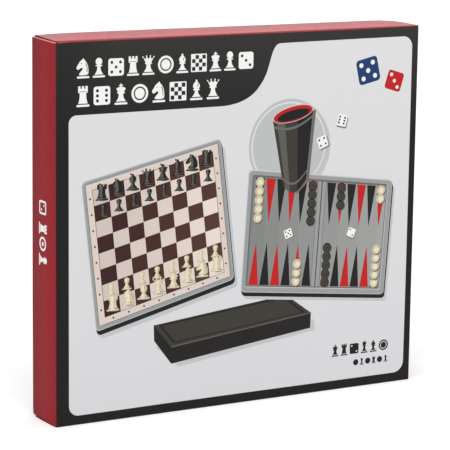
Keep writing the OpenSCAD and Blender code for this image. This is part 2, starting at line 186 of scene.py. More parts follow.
def liner(name, rgb, flute="X"):
    """Unprinted side of the board: paper fibres, faint flute lines, matt."""
    t = Tree(name)
    fib = t.noise(900, 4, 0.7, stretch=(1.0, 1.0, 3.0))
    spots = t.span(t.noise(260, 2, 0.5), 0.62, 0.8, 0.0, 1.0)
    col = t.mix(fib, tone(rgb, 0.93), tone(rgb, 1.03))
    col = t.mix(t.math("MULTIPLY", spots, 0.25), col, tone(rgb, 0.82))
    axis = {"X": 0, "Y": 1, "Z": 2}[flute]
    line = t.span(t.sine(t.xyz()[axis], 0.00125), -1, 1, 0, 1)
    col = t.mix(t.math("MULTIPLY", line, 0.10), col, tone(rgb, 0.85))
    t.put(t.b.inputs["Base Color"], col)
    t.put(t.b.inputs["Roughness"], t.span(fib, 0.3, 0.7, 0.78, 0.92))
    t.b.inputs["Specular IOR Level"].default_value = 0.25
    n1 = t.bump(line, 0.00005, 0.5)
    t.put(t.b.inputs["Normal"], t.bump(t.noise(3000, 3, 0.6), 0.00002, 0.5, n1))
    return t.mat


def kraft(name, rgb):
    """Cut edge and corrugated middle of the board."""
    t = Tree(name)
    fib = t.noise(1500, 5, 0.7, stretch=(1.0, 3.0, 1.0))
    t.put(t.b.inputs["Base Color"], t.mix(fib, tone(rgb, 0.75), tone(rgb, 1.15)))
    t.put(t.b.inputs["Roughness"], t.span(fib, 0.3, 0.7, 0.82, 0.95))
    t.b.inputs["Specular IOR Level"].default_value = 0.2
    t.put(t.b.inputs["Normal"], t.bump(fib, 0.00005, 0.6))
    return t.mat


def moulded(name, rgb, rough=0.45, grain=1100, depth=0.00003, coat=0.0, metal=0.0, mottle=0.06, stretch=None):
    """Moulded plastic or sheet metal with its fine surface grain."""
    t = Tree(name)
    g = t.noise(grain, 3, 0.6, stretch=stretch)
    w = t.noise(45, 2, 0.5)
    t.put(t.b.inputs["Base Color"], t.mix(w, tone(rgb, 1 - mottle), t.mix(g, tone(rgb, 1 - mottle), tone(rgb, 1 + mottle))))
    t.put(t.b.inputs["Roughness"], t.span(t.noise(120, 4, 0.6, stretch=stretch), 0.3, 0.7, rough - 0.06, rough + 0.08))
    t.b.inputs["Metallic"].default_value = metal
    t.b.inputs["Coat Weight"].default_value = coat
    t.put(t.b.inputs["Normal"], t.bump(g, depth, 0.5))
    return t.mat


def print_(name, rgb, spec=0.25, rough=0.36):
    """An ink of the printed pictures: the same all over, so that its shapes stay sharp."""
    m = bpy.data.materials.new(name)
    m.use_nodes = True
    p = m.node_tree.nodes["Principled BSDF"]
    p.inputs["Base Color"].default_value = (*pr(*rgb), 1)
    p.inputs["Roughness"].default_value = rough
    p.inputs["Specular IOR Level"].default_value = spec
    return m


def tones(key, near, far, n=8):
    """Inks key_0 to key_n-1, from one display colour to another."""
    return {f"{key}_{i}": print_(f"{key}_print_{i}", tuple(a + (b - a) * i / (n - 1) for a, b in zip(near, far))) for i in range(n)}


# painted light: RED on the walls, the shaded red of the folds and the lit red of the lid are copies of one printed red,
# each darker or lighter for how the light falls on its face
RED = (0.260, 0.0045, 0.0085)
# painted shade and reflection: the walls' red turns greyer towards the middle and darker towards the back
RED_MID_SHADED = (0.262, 0.0105, 0.0160)
RED_BACK_SHADED = (0.188, 0.0125, 0.0170)
# paler red along the walls' front fold: rubbed ink and a painted highlight
RED_FOLD_RUB_AND_GLINT = (0.22, (0.50, 0.20, 0.20), [(1, -0.0225, 0.0006)])
M = {
    "red": ink("red_print", RED, rough=0.34, spec=0.035, fold_rub_and_glint=RED_FOLD_RUB_AND_GLINT, grad=[(1, -0.019, 0.0, RED_MID_SHADED, 1.0), (1, 0.0, 0.021, RED_BACK_SHADED, 1.0)], mottle=0.03),
    # painted highlight: a pale pink line on the top fold of the side walls
    "red_crease_painted_highlight": ink("red_crease_painted_highlight", (0.80, 0.27, 0.28), rough=0.42, spec=0.3, mottle=0.10, slow=0.08),
    # painted shade: a dark red line along the bottom fold of the side walls
    "red_dark": ink("red_dark_crease", (0.095, 0.014, 0.016), rough=0.45, spec=0.1, mottle=0.15, slow=0.1),
    # painted light: the lid's red is a lighter copy of the walls' printed red, for the light on the top, and it goes
    # darker towards the back, painted shade
    "lid_red": ink("lid_red_print", (0.66, 0.012, 0.022), rough=0.25, mottle=0.015, slow=0.02, relief=0.3, grad=[(1, -0.021, 0.016, (0.42, 0.017, 0.026), 1.0)]),
    # painted shade: a darker copy of the lid's red, on the closure's front fold, at the lid's left end and on the
    # front's top left corner
    "fold_red": ink("fold_red_print", (0.36, 0.018, 0.028), rough=0.30, mottle=0.03, relief=0.3),
    # painted reflection and shade: the black is lighter near the top and darker lower down and towards the left end;
    # the paler line along its top and bottom folds is rubbed ink
    "black": ink("black_print", (0.0272, 0.0258, 0.0248), rough=0.36, spec=0.16, grad=[(2, 0.325, 0.232, (0.0068, 0.0066, 0.0064), 1.0), (0, -0.120, -0.172, (0.0068, 0.0066, 0.0064), 0.55)],
                 fold_rub_and_glint=(0.30, (0.10, 0.085, 0.08), [(2, 0.0003, 0.0006), (2, 0.3253, 0.0006)])),
    # painted shade: the panel goes darker towards the bottom
    "panel": ink("panel_print", (0.636, 0.636, 0.640), rough=0.36, spec=0.25, mottle=0.006, slow=0.015, relief=0.5, grad=[(2, 0.30, 0.02, (0.590, 0.590, 0.606), 1.0)]),
    "liner": liner("white_liner", (0.74, 0.715, 0.66)),
    "liner_y": liner("white_liner_side", (0.74, 0.715, 0.66), flute="Y"),
    "kraft": kraft("corrugated_middle", (0.52, 0.42, 0.30)),
    # painted shade: dark maroon cut edges and corrugated middle, for the shade in the gap under the walls' folds
    "core": kraft("corrugated_middle_painted_shade", (0.24, 0.055, 0.055)),
    "edge": kraft("cut_edge_painted_shade", (0.24, 0.050, 0.055)),
    "raw": kraft("raw_edge", (0.46, 0.40, 0.33)),
}
P = {
    "white": print_("white_print", (238, 238, 236)),
    **tones("cream", (200, 187, 179), (228, 214, 204)),
    **tones("brown", (62, 40, 37), (86, 60, 54)),
    **tones("field", (132, 134, 132), (160, 161, 159)),
    "frame": print_("frame_print", (152, 155, 154)),
    "frame_hi": print_("frame_light_print", (198, 201, 200)),
    "frame_lo": print_("frame_dark_print", (104, 107, 106)),
    "ink_red": print_("red_picture_print", (190, 32, 42)),
    "ink_red2": print_("deep_red_picture_print", (158, 24, 34)),
    "ink_black": print_("black_picture_print", (38, 42, 42)),
    "ink_dark": print_("dark_picture_print", (66, 64, 59)),
    "ink_dark2": print_("deep_picture_print", (45, 43, 40)),
    "ink_dark3": print_("soft_picture_print", (96, 94, 89)),
    "ink_mid": print_("mid_picture_print", (186, 188, 188)),
    "ink_shadow": print_("shadow_picture_print", (192, 192, 195)),
    "ink_shadow2": print_("soft_shadow_picture_print", (208, 208, 211)),
    "ink_shade": print_("deep_shadow_print", (112, 108, 104)),
    "ink_blue": print_("blue_print", (24, 66, 112)),
    "ink_blue2": print_("deep_blue_print", (16, 46, 84)),
    "ivory": print_("ivory_picture_print", (206, 196, 166)),
    "ivory_hi": print_("ivory_light_print", (228, 220, 194)),
    "ivory_lo": print_("ivory_shade_print", (160, 149, 118)),
}
GRADED = ("cream", "brown", "field")
BARE = ("ground_black", "ground_red", "panel")      # no ink: the board shows
KEYS = list(M)
PRINTS = list(P)

# ------------------------------------------------------------------ mesh helpers


class Build:
    """Collects vertices and faces in millimetres and makes one mesh object of them."""

    def __init__(self, name, mats):
        self.name, self.mats = name, mats
        self.v, self.f, self.m = [], [], []
        self.n = 0

    def add(self, verts, faces, mats):
        self.v.append(np.asarray(verts, float).reshape(-1, 3))
        self.f.extend([tuple(i + self.n for i in f) for f in faces])
        self.m.extend(mats if hasattr(mats, "__len__") else [mats] * len(faces))
        self.n += len(self.v[-1])

    def object(self, body, replaces=(), sharp=38, face=None):
        """face is the axis that the printed side faces: that side then gets nearly all of the piece's UV map."""
        me = bpy.data.meshes.new(self.name)
        co = np.concatenate(self.v)
        me.from_pydata((co * MM).tolist(), [], self.f)
        used = sorted(set(self.m))
        me.polygons.foreach_set("material_index", np.array([used.index(i) for i in self.m], np.int32))
        me.polygons.foreach_set("use_smooth", np.ones(len(self.f), bool))
        for k in used:
            me.materials.append((M if self.mats[k] in M and self.mats is not PRINTS else P)[self.mats[k]])
        me.update()
        me.set_sharp_from_angle(angle=math.radians(sharp))
        if face:
            normals = np.array([p.normal[1] for p in me.polygons]) * face
            kind = np.where(normals > 0.7, 0, np.where(normals < -0.7, 1, 2))
            loops = np.array([l.vertex_index for l in me.loops])
            per = np.repeat(kind, [len(p.vertices) for p in me.polygons])
            lo, hi = co.min(0), co.max(0)
            fx, fz = (co[loops, 0] - lo[0]) / (hi[0] - lo[0]), (co[loops, 2] - lo[2]) / (hi[2] - lo[2])
            fy = (co[loops, 1] - lo[1]) / (hi[1] - lo[1])
            u = 0.004 + 0.992 * fx
            v = np.where(per == 0, 0.135 + 0.861 * fz, np.where(per == 1, 0.045 + 0.080 * fz, 0.0))
            # edges: the two ends stand side by side in the lowest strip, with the long edges above them
            end = (per == 2) & ((fx < 0.02) | (fx > 0.98))
            u = np.where(end, 0.004 + 0.49 * fz + np.where(fx > 0.5, 0.5, 0), u)
            v = np.where(per == 2, np.where(end, 0.002 + 0.008 * fy, np.where(fz > 0.5, 0.014, 0.028) + 0.010 * fy), v)
            uv = me.uv_layers.new(name="OFBake")
            uv.data.foreach_set("uv", np.stack([u, v], 1).ravel())
        me.validate()
        o = bpy.data.objects.new(self.name, me)
        bpy.context.scene.collection.objects.link(o)
        if body:
            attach(o, body)
        if replaces:
            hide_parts(*replaces)
        return o


def cut(p, q, step):
    """Points from p up to q, q left out, no further apart than step."""
    n = max(1, int(math.ceil(math.hypot(q[0] - p[0], q[1] - p[1]) / step)))
    return [(p[0] + (q[0] - p[0]) * i / n, p[1] + (q[1] - p[1]) * i / n) for i in range(n)]


def edge_points(poly, step):
    out = []
    for i, p in enumerate(poly):
        out += cut(p, poly[(i + 1) % len(poly)], step)
    return out


def inside(poly, pts):
    """Which of pts lie inside the polygon."""
    x, y = pts[:, 0], pts[:, 1]
    r = np.zeros(len(pts), bool)
    n = len(poly)
    for i in range(n):
        x1, y1 = poly[i]
        x2, y2 = poly[(i + 1) % n]
        if y1 == y2:
            continue
        hit = ((y1 > y) != (y2 > y)) & (x < (x2 - x1) * (y - y1) / (y2 - y1) + x1)
        r ^= hit
    return r


def sheet(b, outline, outer, inner, m_out, m_in, m_edge, shapes=(), step=6.0, extra_u=(), extra_v=()):
    """Adds a closed sheet to b. outline is its edge in sheet coordinates (u, v), outer and inner map arrays of u, v
    to points. shapes are (polygon, material key): printed areas, later ones over earlier ones."""
    rim = edge_points(outline, step)
    us = np.array([p[0] for p in rim]); vs = np.array([p[1] for p in rim])
    gu = np.unique(np.concatenate([np.arange(us.min() + step / 2, us.max(), step), np.array(extra_u, float)]))
    gv = np.unique(np.concatenate([np.arange(vs.min() + step / 2, vs.max(), step), np.array(extra_v, float)]))
    grid = np.array([(u, v) for u in gu for v in gv], float).reshape(-1, 2)
    keep = inside(outline, grid)
    grid = grid[keep]
    # grid points too close to the rim are dropped
    if len(grid):
        rimp = np.array(rim)
        near = np.array([np.min(np.hypot(rimp[:, 0] - g[0], rimp[:, 1] - g[1])) for g in grid])
        grid = grid[near > min(step, 1.0) * 0.35]
    pts = [Vector(p) for p in rim]
    lines = [(i, (i + 1) % len(rim)) for i in range(len(rim))]
    for poly, key in shapes:
        s = len(pts)
        fine = edge_points(poly, step)      # a long edge follows the board where that bends
        pts += [Vector(p) for p in fine]
        lines += [(s + i, s + (i + 1) % len(fine)) for i in range(len(fine))]
    pts += [Vector(p) for p in grid.tolist()]
    # no triangle reaches across the lines of a fold
    for c, at_ in [(0, x) for x in extra_u] + [(1, x) for x in extra_v]:
        a, z = (vs.min() - 1, vs.max() + 1) if c == 0 else (us.min() - 1, us.max() + 1)
        lines.append((len(pts), len(pts) + 1))
        pts += [Vector((at_, q) if c == 0 else (q, at_)) for q in (a, z)]
    verts, _, tris, _, _, _ = delaunay_2d_cdt(pts, lines, [], 0, 1e-4, False)
    uv = np.array([(p[0], p[1]) for p in verts])
    idx = {k: i for i, k in enumerate(b.mats)}
    tri = np.array([t for t in tris if len(t) == 3])
    area = (uv[tri[:, 1], 0] - uv[tri[:, 0], 0]) * (uv[tri[:, 2], 1] - uv[tri[:, 0], 1]) - (uv[tri[:, 2], 0] - uv[tri[:, 0], 0]) * (uv[tri[:, 1], 1] - uv[tri[:, 0], 1])
    tri[area < 0] = tri[area < 0][:, ::-1]
    mid = uv[tri].mean(1)
    keep = inside(outline, mid) & (np.abs(area) > 1e-9)
    tri, mid = tri[keep], mid[keep]
    which = np.full(len(tri), idx[m_out])
    for poly, key in shapes:
        q = np.array(poly)
        near = np.nonzero((mid[:, 0] > q[:, 0].min()) & (mid[:, 0] < q[:, 0].max()) & (mid[:, 1] > q[:, 1].min()) & (mid[:, 1] < q[:, 1].max()))[0]
        if len(near):
            which[near[inside(poly, mid[near])]] = idx[key]
    fo = [tuple(int(i) for i in t) for t in tri]
    mo = [int(k) for k in which]
    used = np.unique(np.array([i for f in fo for i in f]))
    remap = -np.ones(len(uv), int)
    remap[used] = np.arange(len(used))
    uv = uv[used]
    fo = [tuple(int(remap[i]) for i in f) for f in fo]
    n = len(uv)
    po, pi = outer(uv[:, 0], uv[:, 1]), inner(uv[:, 0], uv[:, 1])
    # does (u, v) turn the right way round to face out?
    a, c, d = (po[i] for i in fo[0])
    flip = np.dot(np.cross(c - a, d - a), (po[list(fo[0])].mean(0) - pi[list(fo[0])].mean(0))) < 0
    turn = (lambda f: f[::-1]) if flip else (lambda f: f)
    faces_all = [turn(f) for f in fo] + [turn(f)[::-1] for f in [tuple(i + n for i in f) for f in fo]]
    mats_all = mo + [idx[m_in]] * len(fo)
    once = {}
    for f in fo:
        for i in range(len(f)):
            e = (f[i], f[(i + 1) % len(f)])
            if (e[1], e[0]) in once:
                del once[(e[1], e[0])]
            else:
                once[e] = True
    for p, q in once:
        w = (q, p, p + n, q + n)
        faces_all.append(turn(w))
        mats_all.append(idx[m_edge(*uv[p]) if callable(m_edge) else m_edge])
    b.add(np.concatenate([po, pi]), faces_all, mats_all)


def printed(name, body, shapes, surface, graded=((0, 1), (0, 1))):
    """A layer of ink 0.04 mm thick on a board: every shape, with what a later one covers taken out of it.
    surface(u, v, w) is the point w mm off the printed face. graded: from and to which u the squares and the
    field of points go from their first tone to their last."""
    pts, lines = [], []
    for poly, key in shapes:
        s = len(pts)
        poly = edge_points(poly, 5.0)
        pts += [Vector(p) for p in poly]
        lines += [(s + i, s + (i + 1) % len(poly)) for i in range(len(poly))]
    # a grid of points as close as the board's own, so that the ink follows the board's unevenness
    lo, hi = np.array([tuple(p) for p in pts]).min(0), np.array([tuple(p) for p in pts]).max(0)
    pts += [Vector((x, y)) for x in np.arange(lo[0] + 1.37, hi[0], 5.0) for y in np.arange(lo[1] + 1.53, hi[1], 5.0)]
    verts, _, tris, _, _, _ = delaunay_2d_cdt(pts, lines, [], 0, 1e-4, False)
    uv = np.array([(p[0], p[1]) for p in verts])
    tri = np.array([t for t in tris if len(t) == 3])
    a, b_, c = uv[tri[:, 0]], uv[tri[:, 1]], uv[tri[:, 2]]
    area = (b_ - a)[:, 0] * (c - a)[:, 1] - (c - a)[:, 0] * (b_ - a)[:, 1]
    tri[area < 0] = tri[area < 0][:, ::-1]
    tri = tri[np.abs(area) > 1e-7]
    mid = uv[tri].mean(1)
    which = np.full(len(tri), -1)
    for poly, key in shapes:
        q = np.array(poly)
        if key in GRADED:
            x0, x1 = graded[key == "field"]
            key = f"{key}_{int(min(7, max(0, 8 * (q[:, 0].mean() - x0) / (x1 - x0))))}"
        near = np.nonzero((mid[:, 0] > q[:, 0].min()) & (mid[:, 0] < q[:, 0].max()) & (mid[:, 1] > q[:, 1].min()) & (mid[:, 1] < q[:, 1].max()))[0]
        if len(near):
            which[near[inside(poly, mid[near])]] = -1 if key in BARE else PRINTS.index(key)
    tri, which = tri[which >= 0], which[which >= 0]
    used = np.unique(tri)
    remap = -np.ones(len(uv), int)
    remap[used] = np.arange(len(used))
    uv, tri = uv[used], remap[tri]
    n = len(uv)
    top, low = surface(uv[:, 0], uv[:, 1], 0.04), surface(uv[:, 0], uv[:, 1], -0.02)
    i, j, k = tri[0]
    if np.dot(np.cross(top[j] - top[i], top[k] - top[i]), top[i] - low[i]) < 0:
        tri = tri[:, ::-1]
    once = {}
    for f, m in zip(tri.tolist(), which.tolist()):
        for q in range(3):
            e = (f[q], f[(q + 1) % 3])
            if (e[1], e[0]) in once:
                del once[(e[1], e[0])]
            else:
                once[e] = m
    b = Build(name, PRINTS)
    faces = [tuple(f) for f in tri.tolist()] + [(f[2] + n, f[1] + n, f[0] + n) for f in tri.tolist()] + [(q, p, p + n, q + n) for p, q in once]
    b.add(np.concatenate([top, low]), faces, which.tolist() * 2 + list(once.values()))
    return b.object(body, sharp=20)


def arr(x, y, z):
    x, y, z = np.broadcast_arrays(np.asarray(x, float), np.asarray(y, float), np.asarray(z, float))
    return np.stack([x, y, z], 1)


def flutes(b, outline, place, key, along="v", pitch=1.25, lo=0.27, hi=1.23, inset=0.12, per=8):
    """Adds the corrugated middle layer of a board: a thin wavy sheet between the liners, seen at the cut edges.
    place(u, v, w) maps sheet coordinates and height w above the inner face. along is the direction of the flutes."""
    o = np.array(edge_points(outline, 0.5))
    c, r = (0, 1) if along == "v" else (1, 0)
    lo_c, hi_c = o[:, c].min() + inset, o[:, c].max() - inset
    count = int((hi_c - lo_c) / pitch * per)
    cs = np.linspace(lo_c, hi_c, count)
    first, last = np.empty(count), np.empty(count)
    n = len(outline)
    for k, x in enumerate(cs):
        hits = []
        for i in range(n):
            p, q = outline[i], outline[(i + 1) % n]
            if (p[c] > x) != (q[c] > x):
                hits.append(p[r] + (q[r] - p[r]) * (x - p[c]) / (q[c] - p[c]))
        first[k], last[k] = (min(hits) + inset, max(hits) - inset) if len(hits) > 1 else (np.nan, np.nan)
    ok = last - first > 0.5
    cs, first, last = cs[ok], first[ok], last[ok]
    amp = (hi - lo) / 2 - 0.07
    w = (lo + hi) / 2 + amp * np.sin(2 * PI * cs / pitch)
    rows = 3
    vs, n = [], len(cs)
    for side in (0.07, -0.07):
        for j in range(rows):
            t = first + (last - first) * j / (rows - 1)
            vs.append(place(cs, t, w + side) if along == "v" else place(t, cs, w + side))
    v = np.concatenate(vs)
    at = lambda s, j, i: (s * rows + j) * n + i
    gaps = np.diff(cs) > 3 * pitch / per
    f = []
    for i in range(n - 1):
        if gaps[i]:
            continue
        for j in range(rows - 1):
            f.append((at(0, j, i), at(0, j, i + 1), at(0, j + 1, i + 1), at(0, j + 1, i)))
            f.append((at(1, j, i), at(1, j + 1, i), at(1, j + 1, i + 1), at(1, j, i + 1)))
        for j, d in ((0, 1), (rows - 1, -1)):
            q = (at(0, j, i), at(1, j, i), at(1, j, i + 1), at(0, j, i + 1))
            f.append(q if d > 0 else q[::-1])
    ends = [0] + [i + 1 for i in range(n - 1) if gaps[i]]
    stops = [i for i in range(n - 1) if gaps[i]] + [n - 1]
    for j in range(rows - 1):
        for i in ends:
            f.append((at(0, j, i), at(0, j + 1, i), at(1, j + 1, i), at(1, j, i)))
        for i in stops:
            f.append((at(0, j, i), at(1, j, i), at(1, j + 1, i), at(0, j + 1, i)))
    p0 = v[list(f[0])]
    b.add(v, f, b.mats.index(key))


# ------------------------------------------------------------------ flat artwork
# Shapes are (list of points, material key), in millimetres on the printed face.


def circle(x, y, r, n=28, ry=None, rot=0.0):
    ry = r if ry is None else ry
    c, s = math.cos(rot), math.sin(rot)
    return [(x + r * math.cos(a) * c - ry * math.sin(a) * s, y + r * math.cos(a) * s + ry * math.sin(a) * c)
            for a in (2 * PI * i / n for i in range(n))]


def rounded(x0, y0, x1, y1, r, n=6):
    out = []
    for cx, cy, a0 in ((x1 - r, y1 - r, 0), (x0 + r, y1 - r, 90), (x0 + r, y0 + r, 180), (x1 - r, y0 + r, 270)):
        out += [(cx + r * math.cos(math.radians(a0 + 90 * i / n)), cy + r * math.sin(math.radians(a0 + 90 * i / n))) for i in range(n + 1)]
    return out


def bezier(p0, p1, p2, p3, n=14):
    out = []
    for i in range(n):
        t = i / n
        a, b2, c, d = (1 - t) ** 3, 3 * t * (1 - t) ** 2, 3 * t * t * (1 - t), t ** 3
        out.append((a * p0[0] + b2 * p1[0] + c * p2[0] + d * p3[0], a * p0[1] + b2 * p1[1] + c * p2[1] + d * p3[1]))
    return out


def smooth(poly, rounds=2):
    for _ in range(rounds):
        out = []
        for i, p in enumerate(poly):
            q = poly[(i + 1) % len(poly)]
            out += [(0.75 * p[0] + 0.25 * q[0], 0.75 * p[1] + 0.25 * q[1]), (0.25 * p[0] + 0.75 * q[0], 0.25 * p[1] + 0.75 * q[1])]
        poly = out
    return poly


def sym(right):
    """A closed outline from its right half, given from the bottom up."""
    return right + [(-x, y) for x, y in reversed(right) if abs(x) > 1e-6]


FOOT = [(0.33, 0.0), (0.33, 0.07), (0.27, 0.13)]
BASE = rounded(-0.34, 0.0, 0.34, 0.10, 0.035, 4)


def flank(x0, y0, x1, y1, bend):
    """A curved side of a turned stem, from (x0, y0) up to (x1, y1)."""
    return bezier((x0, y0), (x0 - bend, y0 + (y1 - y0) * 0.35), (x1, y0 + (y1 - y0) * 0.55), (x1, y1), 8) + [(x1, y1)]


def man(kind, cutkey="ground"):
    """A chessman seen from the side, 1 high, standing on y = 0: list of (polygon, 'fill' or 'ground')."""
    s = [(BASE, "fill")]
    if kind == "pawn":
        s += [(sym([(0.25, 0.15)] + flank(0.23, 0.17, 0.09, 0.58, 0.12)), "fill"),
              (rounded(-0.19, 0.565, 0.19, 0.625, 0.028, 3), "fill"), (circle(0, 0.80, 0.185), "fill")]
        s.append((rounded(-0.25, 0.115, 0.25, 0.15, 0.012, 2), cutkey))
    elif kind == "rook":
        s += [(sym([(0.26, 0.15)] + flank(0.24, 0.17, 0.17, 0.66, 0.06)), "fill"), (rounded(-0.25, 0.66, 0.25, 0.86, 0.02, 2), "fill")]
        s += [(rounded(x - 0.06, 0.84, x + 0.06, 0.98, 0.015, 2), "fill") for x in (-0.19, 0.0, 0.19)]
        s.append((rounded(-0.25, 0.115, 0.25, 0.15, 0.012, 2), cutkey))
        s.append((rounded(-0.20, 0.70, 0.20, 0.725, 0.01, 2), cutkey))
    elif kind == "knight":
        head = smooth([(0.28, 0.15), (0.30, 0.36), (0.27, 0.60), (0.17, 0.82), (0.05, 0.93), (0.02, 1.02), (-0.07, 0.92), (-0.18, 0.85),
                       (-0.30, 0.66), (-0.38, 0.56), (-0.35, 0.45), (-0.25, 0.43), (-0.14, 0.52), (-0.03, 0.53), (-0.02, 0.46),
                       (-0.13, 0.34), (-0.22, 0.24), (-0.24, 0.15)], 2)
        s += [(head, "fill"), (circle(-0.10, 0.74, 0.028, 12), cutkey)]
        s.append((smooth([(0.21, 0.30), (0.20, 0.55), (0.11, 0.76), (0.14, 0.78), (0.235, 0.57), (0.25, 0.30)], 1), cutkey))
        s.append((rounded(-0.25, 0.115, 0.25, 0.15, 0.012, 2), cutkey))
    elif kind == "bishop":
        s += [(sym([(0.25, 0.15)] + flank(0.23, 0.17, 0.08, 0.48, 0.11)), "fill"), (rounded(-0.18, 0.47, 0.18, 0.53, 0.028, 3), "fill"),
              (sym([(0.10, 0.53), (0.17, 0.60), (0.19, 0.68), (0.16, 0.78), (0.08, 0.88), (0.03, 0.91)]), "fill"), (circle(0, 0.945, 0.05, 16), "fill")]
        s.append(([(0.02, 0.66), (0.05, 0.64), (0.135, 0.80), (0.105, 0.82)], cutkey))
        s.append((rounded(-0.25, 0.115, 0.25, 0.15, 0.012, 2), cutkey))
    elif kind == "queen":
        s += [(sym([(0.27, 0.15)] + flank(0.25, 0.17, 0.11, 0.56, 0.12)), "fill"), (rounded(-0.20, 0.55, 0.20, 0.61, 0.028, 3), "fill"),
              ([(-0.15, 0.61), (0.15, 0.61), (0.31, 0.90), (0.17, 0.80), (0.11, 0.94), (0.0, 0.80), (-0.11, 0.94), (-0.17, 0.80), (-0.31, 0.90)], "fill")]
        s += [(circle(x, y, 0.037, 14), "fill") for x, y in ((-0.31, 0.91), (-0.11, 0.955), (0.11, 0.955), (0.31, 0.91))]
        s.append((rounded(-0.27, 0.115, 0.27, 0.15, 0.012, 2), cutkey))
    elif kind == "king":
        s += [(sym([(0.27, 0.15)] + flank(0.25, 0.17, 0.12, 0.54, 0.11)), "fill"), (rounded(-0.21, 0.53, 0.21, 0.59, 0.028, 3), "fill"),
              (sym([(0.15, 0.59), (0.25, 0.76), (0.17, 0.82), (0.05, 0.84)]), "fill"),
              (rounded(-0.035, 0.82, 0.035, 1.0, 0.01, 2), "fill"), (rounded(-0.10, 0.88, 0.10, 0.94, 0.01, 2), "fill")]
        s.append((rounded(-0.27, 0.115, 0.27, 0.15, 0.012, 2), cutkey))
    return s


PIPS = {1: [(0, 0)], 2: [(-1, 1), (1, -1)], 3: [(-1, 1), (0, 0), (1, -1)], 4: [(-1, -1), (-1, 1), (1, -1), (1, 1)],
        5: [(-1, -1), (-1, 1), (0, 0), (1, -1), (1, 1)], 6: [(-1, -1), (-1, 0), (-1, 1), (1, -1), (1, 0), (1, 1)]}


def icon(kind):
    """One generic pictogram, 1 high, centred on x = 0."""
    if kind == "outline_dice":
        return [(rounded(-0.42, 0.04, 0.42, 0.96, 0.15, 6), "fill"), (rounded(-0.30, 0.16, 0.30, 0.84, 0.08, 5), "ground")] + \
               [(circle(0.13 * x, 0.50 + 0.16 * y, 0.075, 16), "fill") for x, y in PIPS[2]]
    if kind == "ring":
        return [(circle(0, 0.50, 0.44, 48), "fill"), (circle(0, 0.50, 0.31, 40), "ground"), (circle(0, 0.50, 0.13, 24), "fill")]
    if kind[:3] == "die":
        n = int(kind[3])
        return [(rounded(-0.44, 0.04, 0.44, 0.92, 0.13, 6), "fill")] + \
               [(circle(0.24 * x, 0.48 + 0.24 * y, 0.078, 20), "ground") for x, y in PIPS[n]]
    if kind == "disc":
        return [(circle(0, 0.48, 0.45, 48), "fill"), (circle(0, 0.48, 0.33, 40), "ground"), (circle(0, 0.48, 0.26, 36), "fill")]
    if kind == "chequer":
        out = [(rounded(-0.46, 0.02, 0.46, 0.94, 0.03, 3), "fill"), (rounded(-0.40, 0.08, 0.40, 0.88, 0.01, 2), "ground")]
        q = 0.80 / 4
        out += [([(-0.40 + i * q, 0.08 + j * q), (-0.40 + (i + 1) * q, 0.08 + j * q), (-0.40 + (i + 1) * q, 0.08 + (j + 1) * q), (-0.40 + i * q, 0.08 + (j + 1) * q)], "fill")
                for i in range(4) for j in range(4) if (i + j) % 2]
        return out
    if kind == "magnet":
        n = 18
        o = [(0.36 * math.cos(PI + PI * i / n), 0.40 + 0.36 * math.sin(PI + PI * i / n)) for i in range(n + 1)]
        i_ = [(0.16 * math.cos(2 * PI - PI * i / n), 0.40 + 0.16 * math.sin(2 * PI - PI * i / n)) for i in range(n + 1)]
        return [(o + [(0.36, 0.92), (0.16, 0.92)] + i_ + [(-0.16, 0.92), (-0.36, 0.92)], "fill"),
                (rounded(-0.38, 0.72, 0.38, 0.76, 0.005, 1), "ground")]
    return man(kind)


WIDTH = {"pawn": 0.68, "rook": 0.66, "knight": 0.72, "bishop": 0.66, "queen": 0.74, "king": 0.68, "disc": 0.9, "chequer": 0.92, "magnet": 0.76}


MEN = ("pawn", "rook", "knight", "bishop", "queen", "king")


def width(kind):
    return WIDTH.get(kind, 0.9)


def place(shapes, x, y, h, fill, ground, rot=0.0, flat=1.0):
    c, s = math.cos(rot), math.sin(rot)
    out = []
    for poly, k in shapes:
        out.append(([(x + (px * c * flat - py * s) * h, y + (px * s * flat + py * c) * h) for px, py in poly],
                    fill if k == "fill" else ground if k == "ground" else k))
    return out


def row(kinds, x0, x1, y, h, fill, ground):
    total = sum(width(k) for k in kinds) * h
    gap = (x1 - x0 - total) / (len(kinds) - 1)
    out, x = [], x0
    for k in kinds:
        # inner lines are left out where they would be finer than the print
        shapes = [q for q in icon(k) if q[1] == "fill"] if h < 8 or (h < 12 and k in MEN) else icon(k)
        out += place(shapes, x + width(k) * h / 2, y, h, fill, ground)
        x += width(k) * h + gap
    return out


def R(x, y):
    """Millimetres on the front from quarter-millimetre counts right and down of its top left corner."""
    return (x / 4 - 180, 325 - y / 4)


def quad_map(tl, tr, br, bl):
    """The perspective map of the unit square (s right, t down) to four corners."""
    src = [(0, 0), (1, 0), (1, 1), (0, 1)]
    A, y = [], []
    for (s, t), (px, py) in zip(src, (tl, tr, br, bl)):
        A.append([s, t, 1, 0, 0, 0, -px * s, -px * t]); y.append(px)
        A.append([0, 0, 0, s, t, 1, -py * s, -py * t]); y.append(py)
    h = np.append(np.linalg.solve(np.array(A, float), np.array(y, float)), 1).reshape(3, 3)

    def f(s, t):
        v = h @ np.array([s, t, 1.0])
        return (v[0] / v[2], v[1] / v[2])
    return f


def band(f, s0, t0, s1, t1, n=1):
    return [f(s0, t0), f(s1, t0), f(s1, t1), f(s0, t1)]


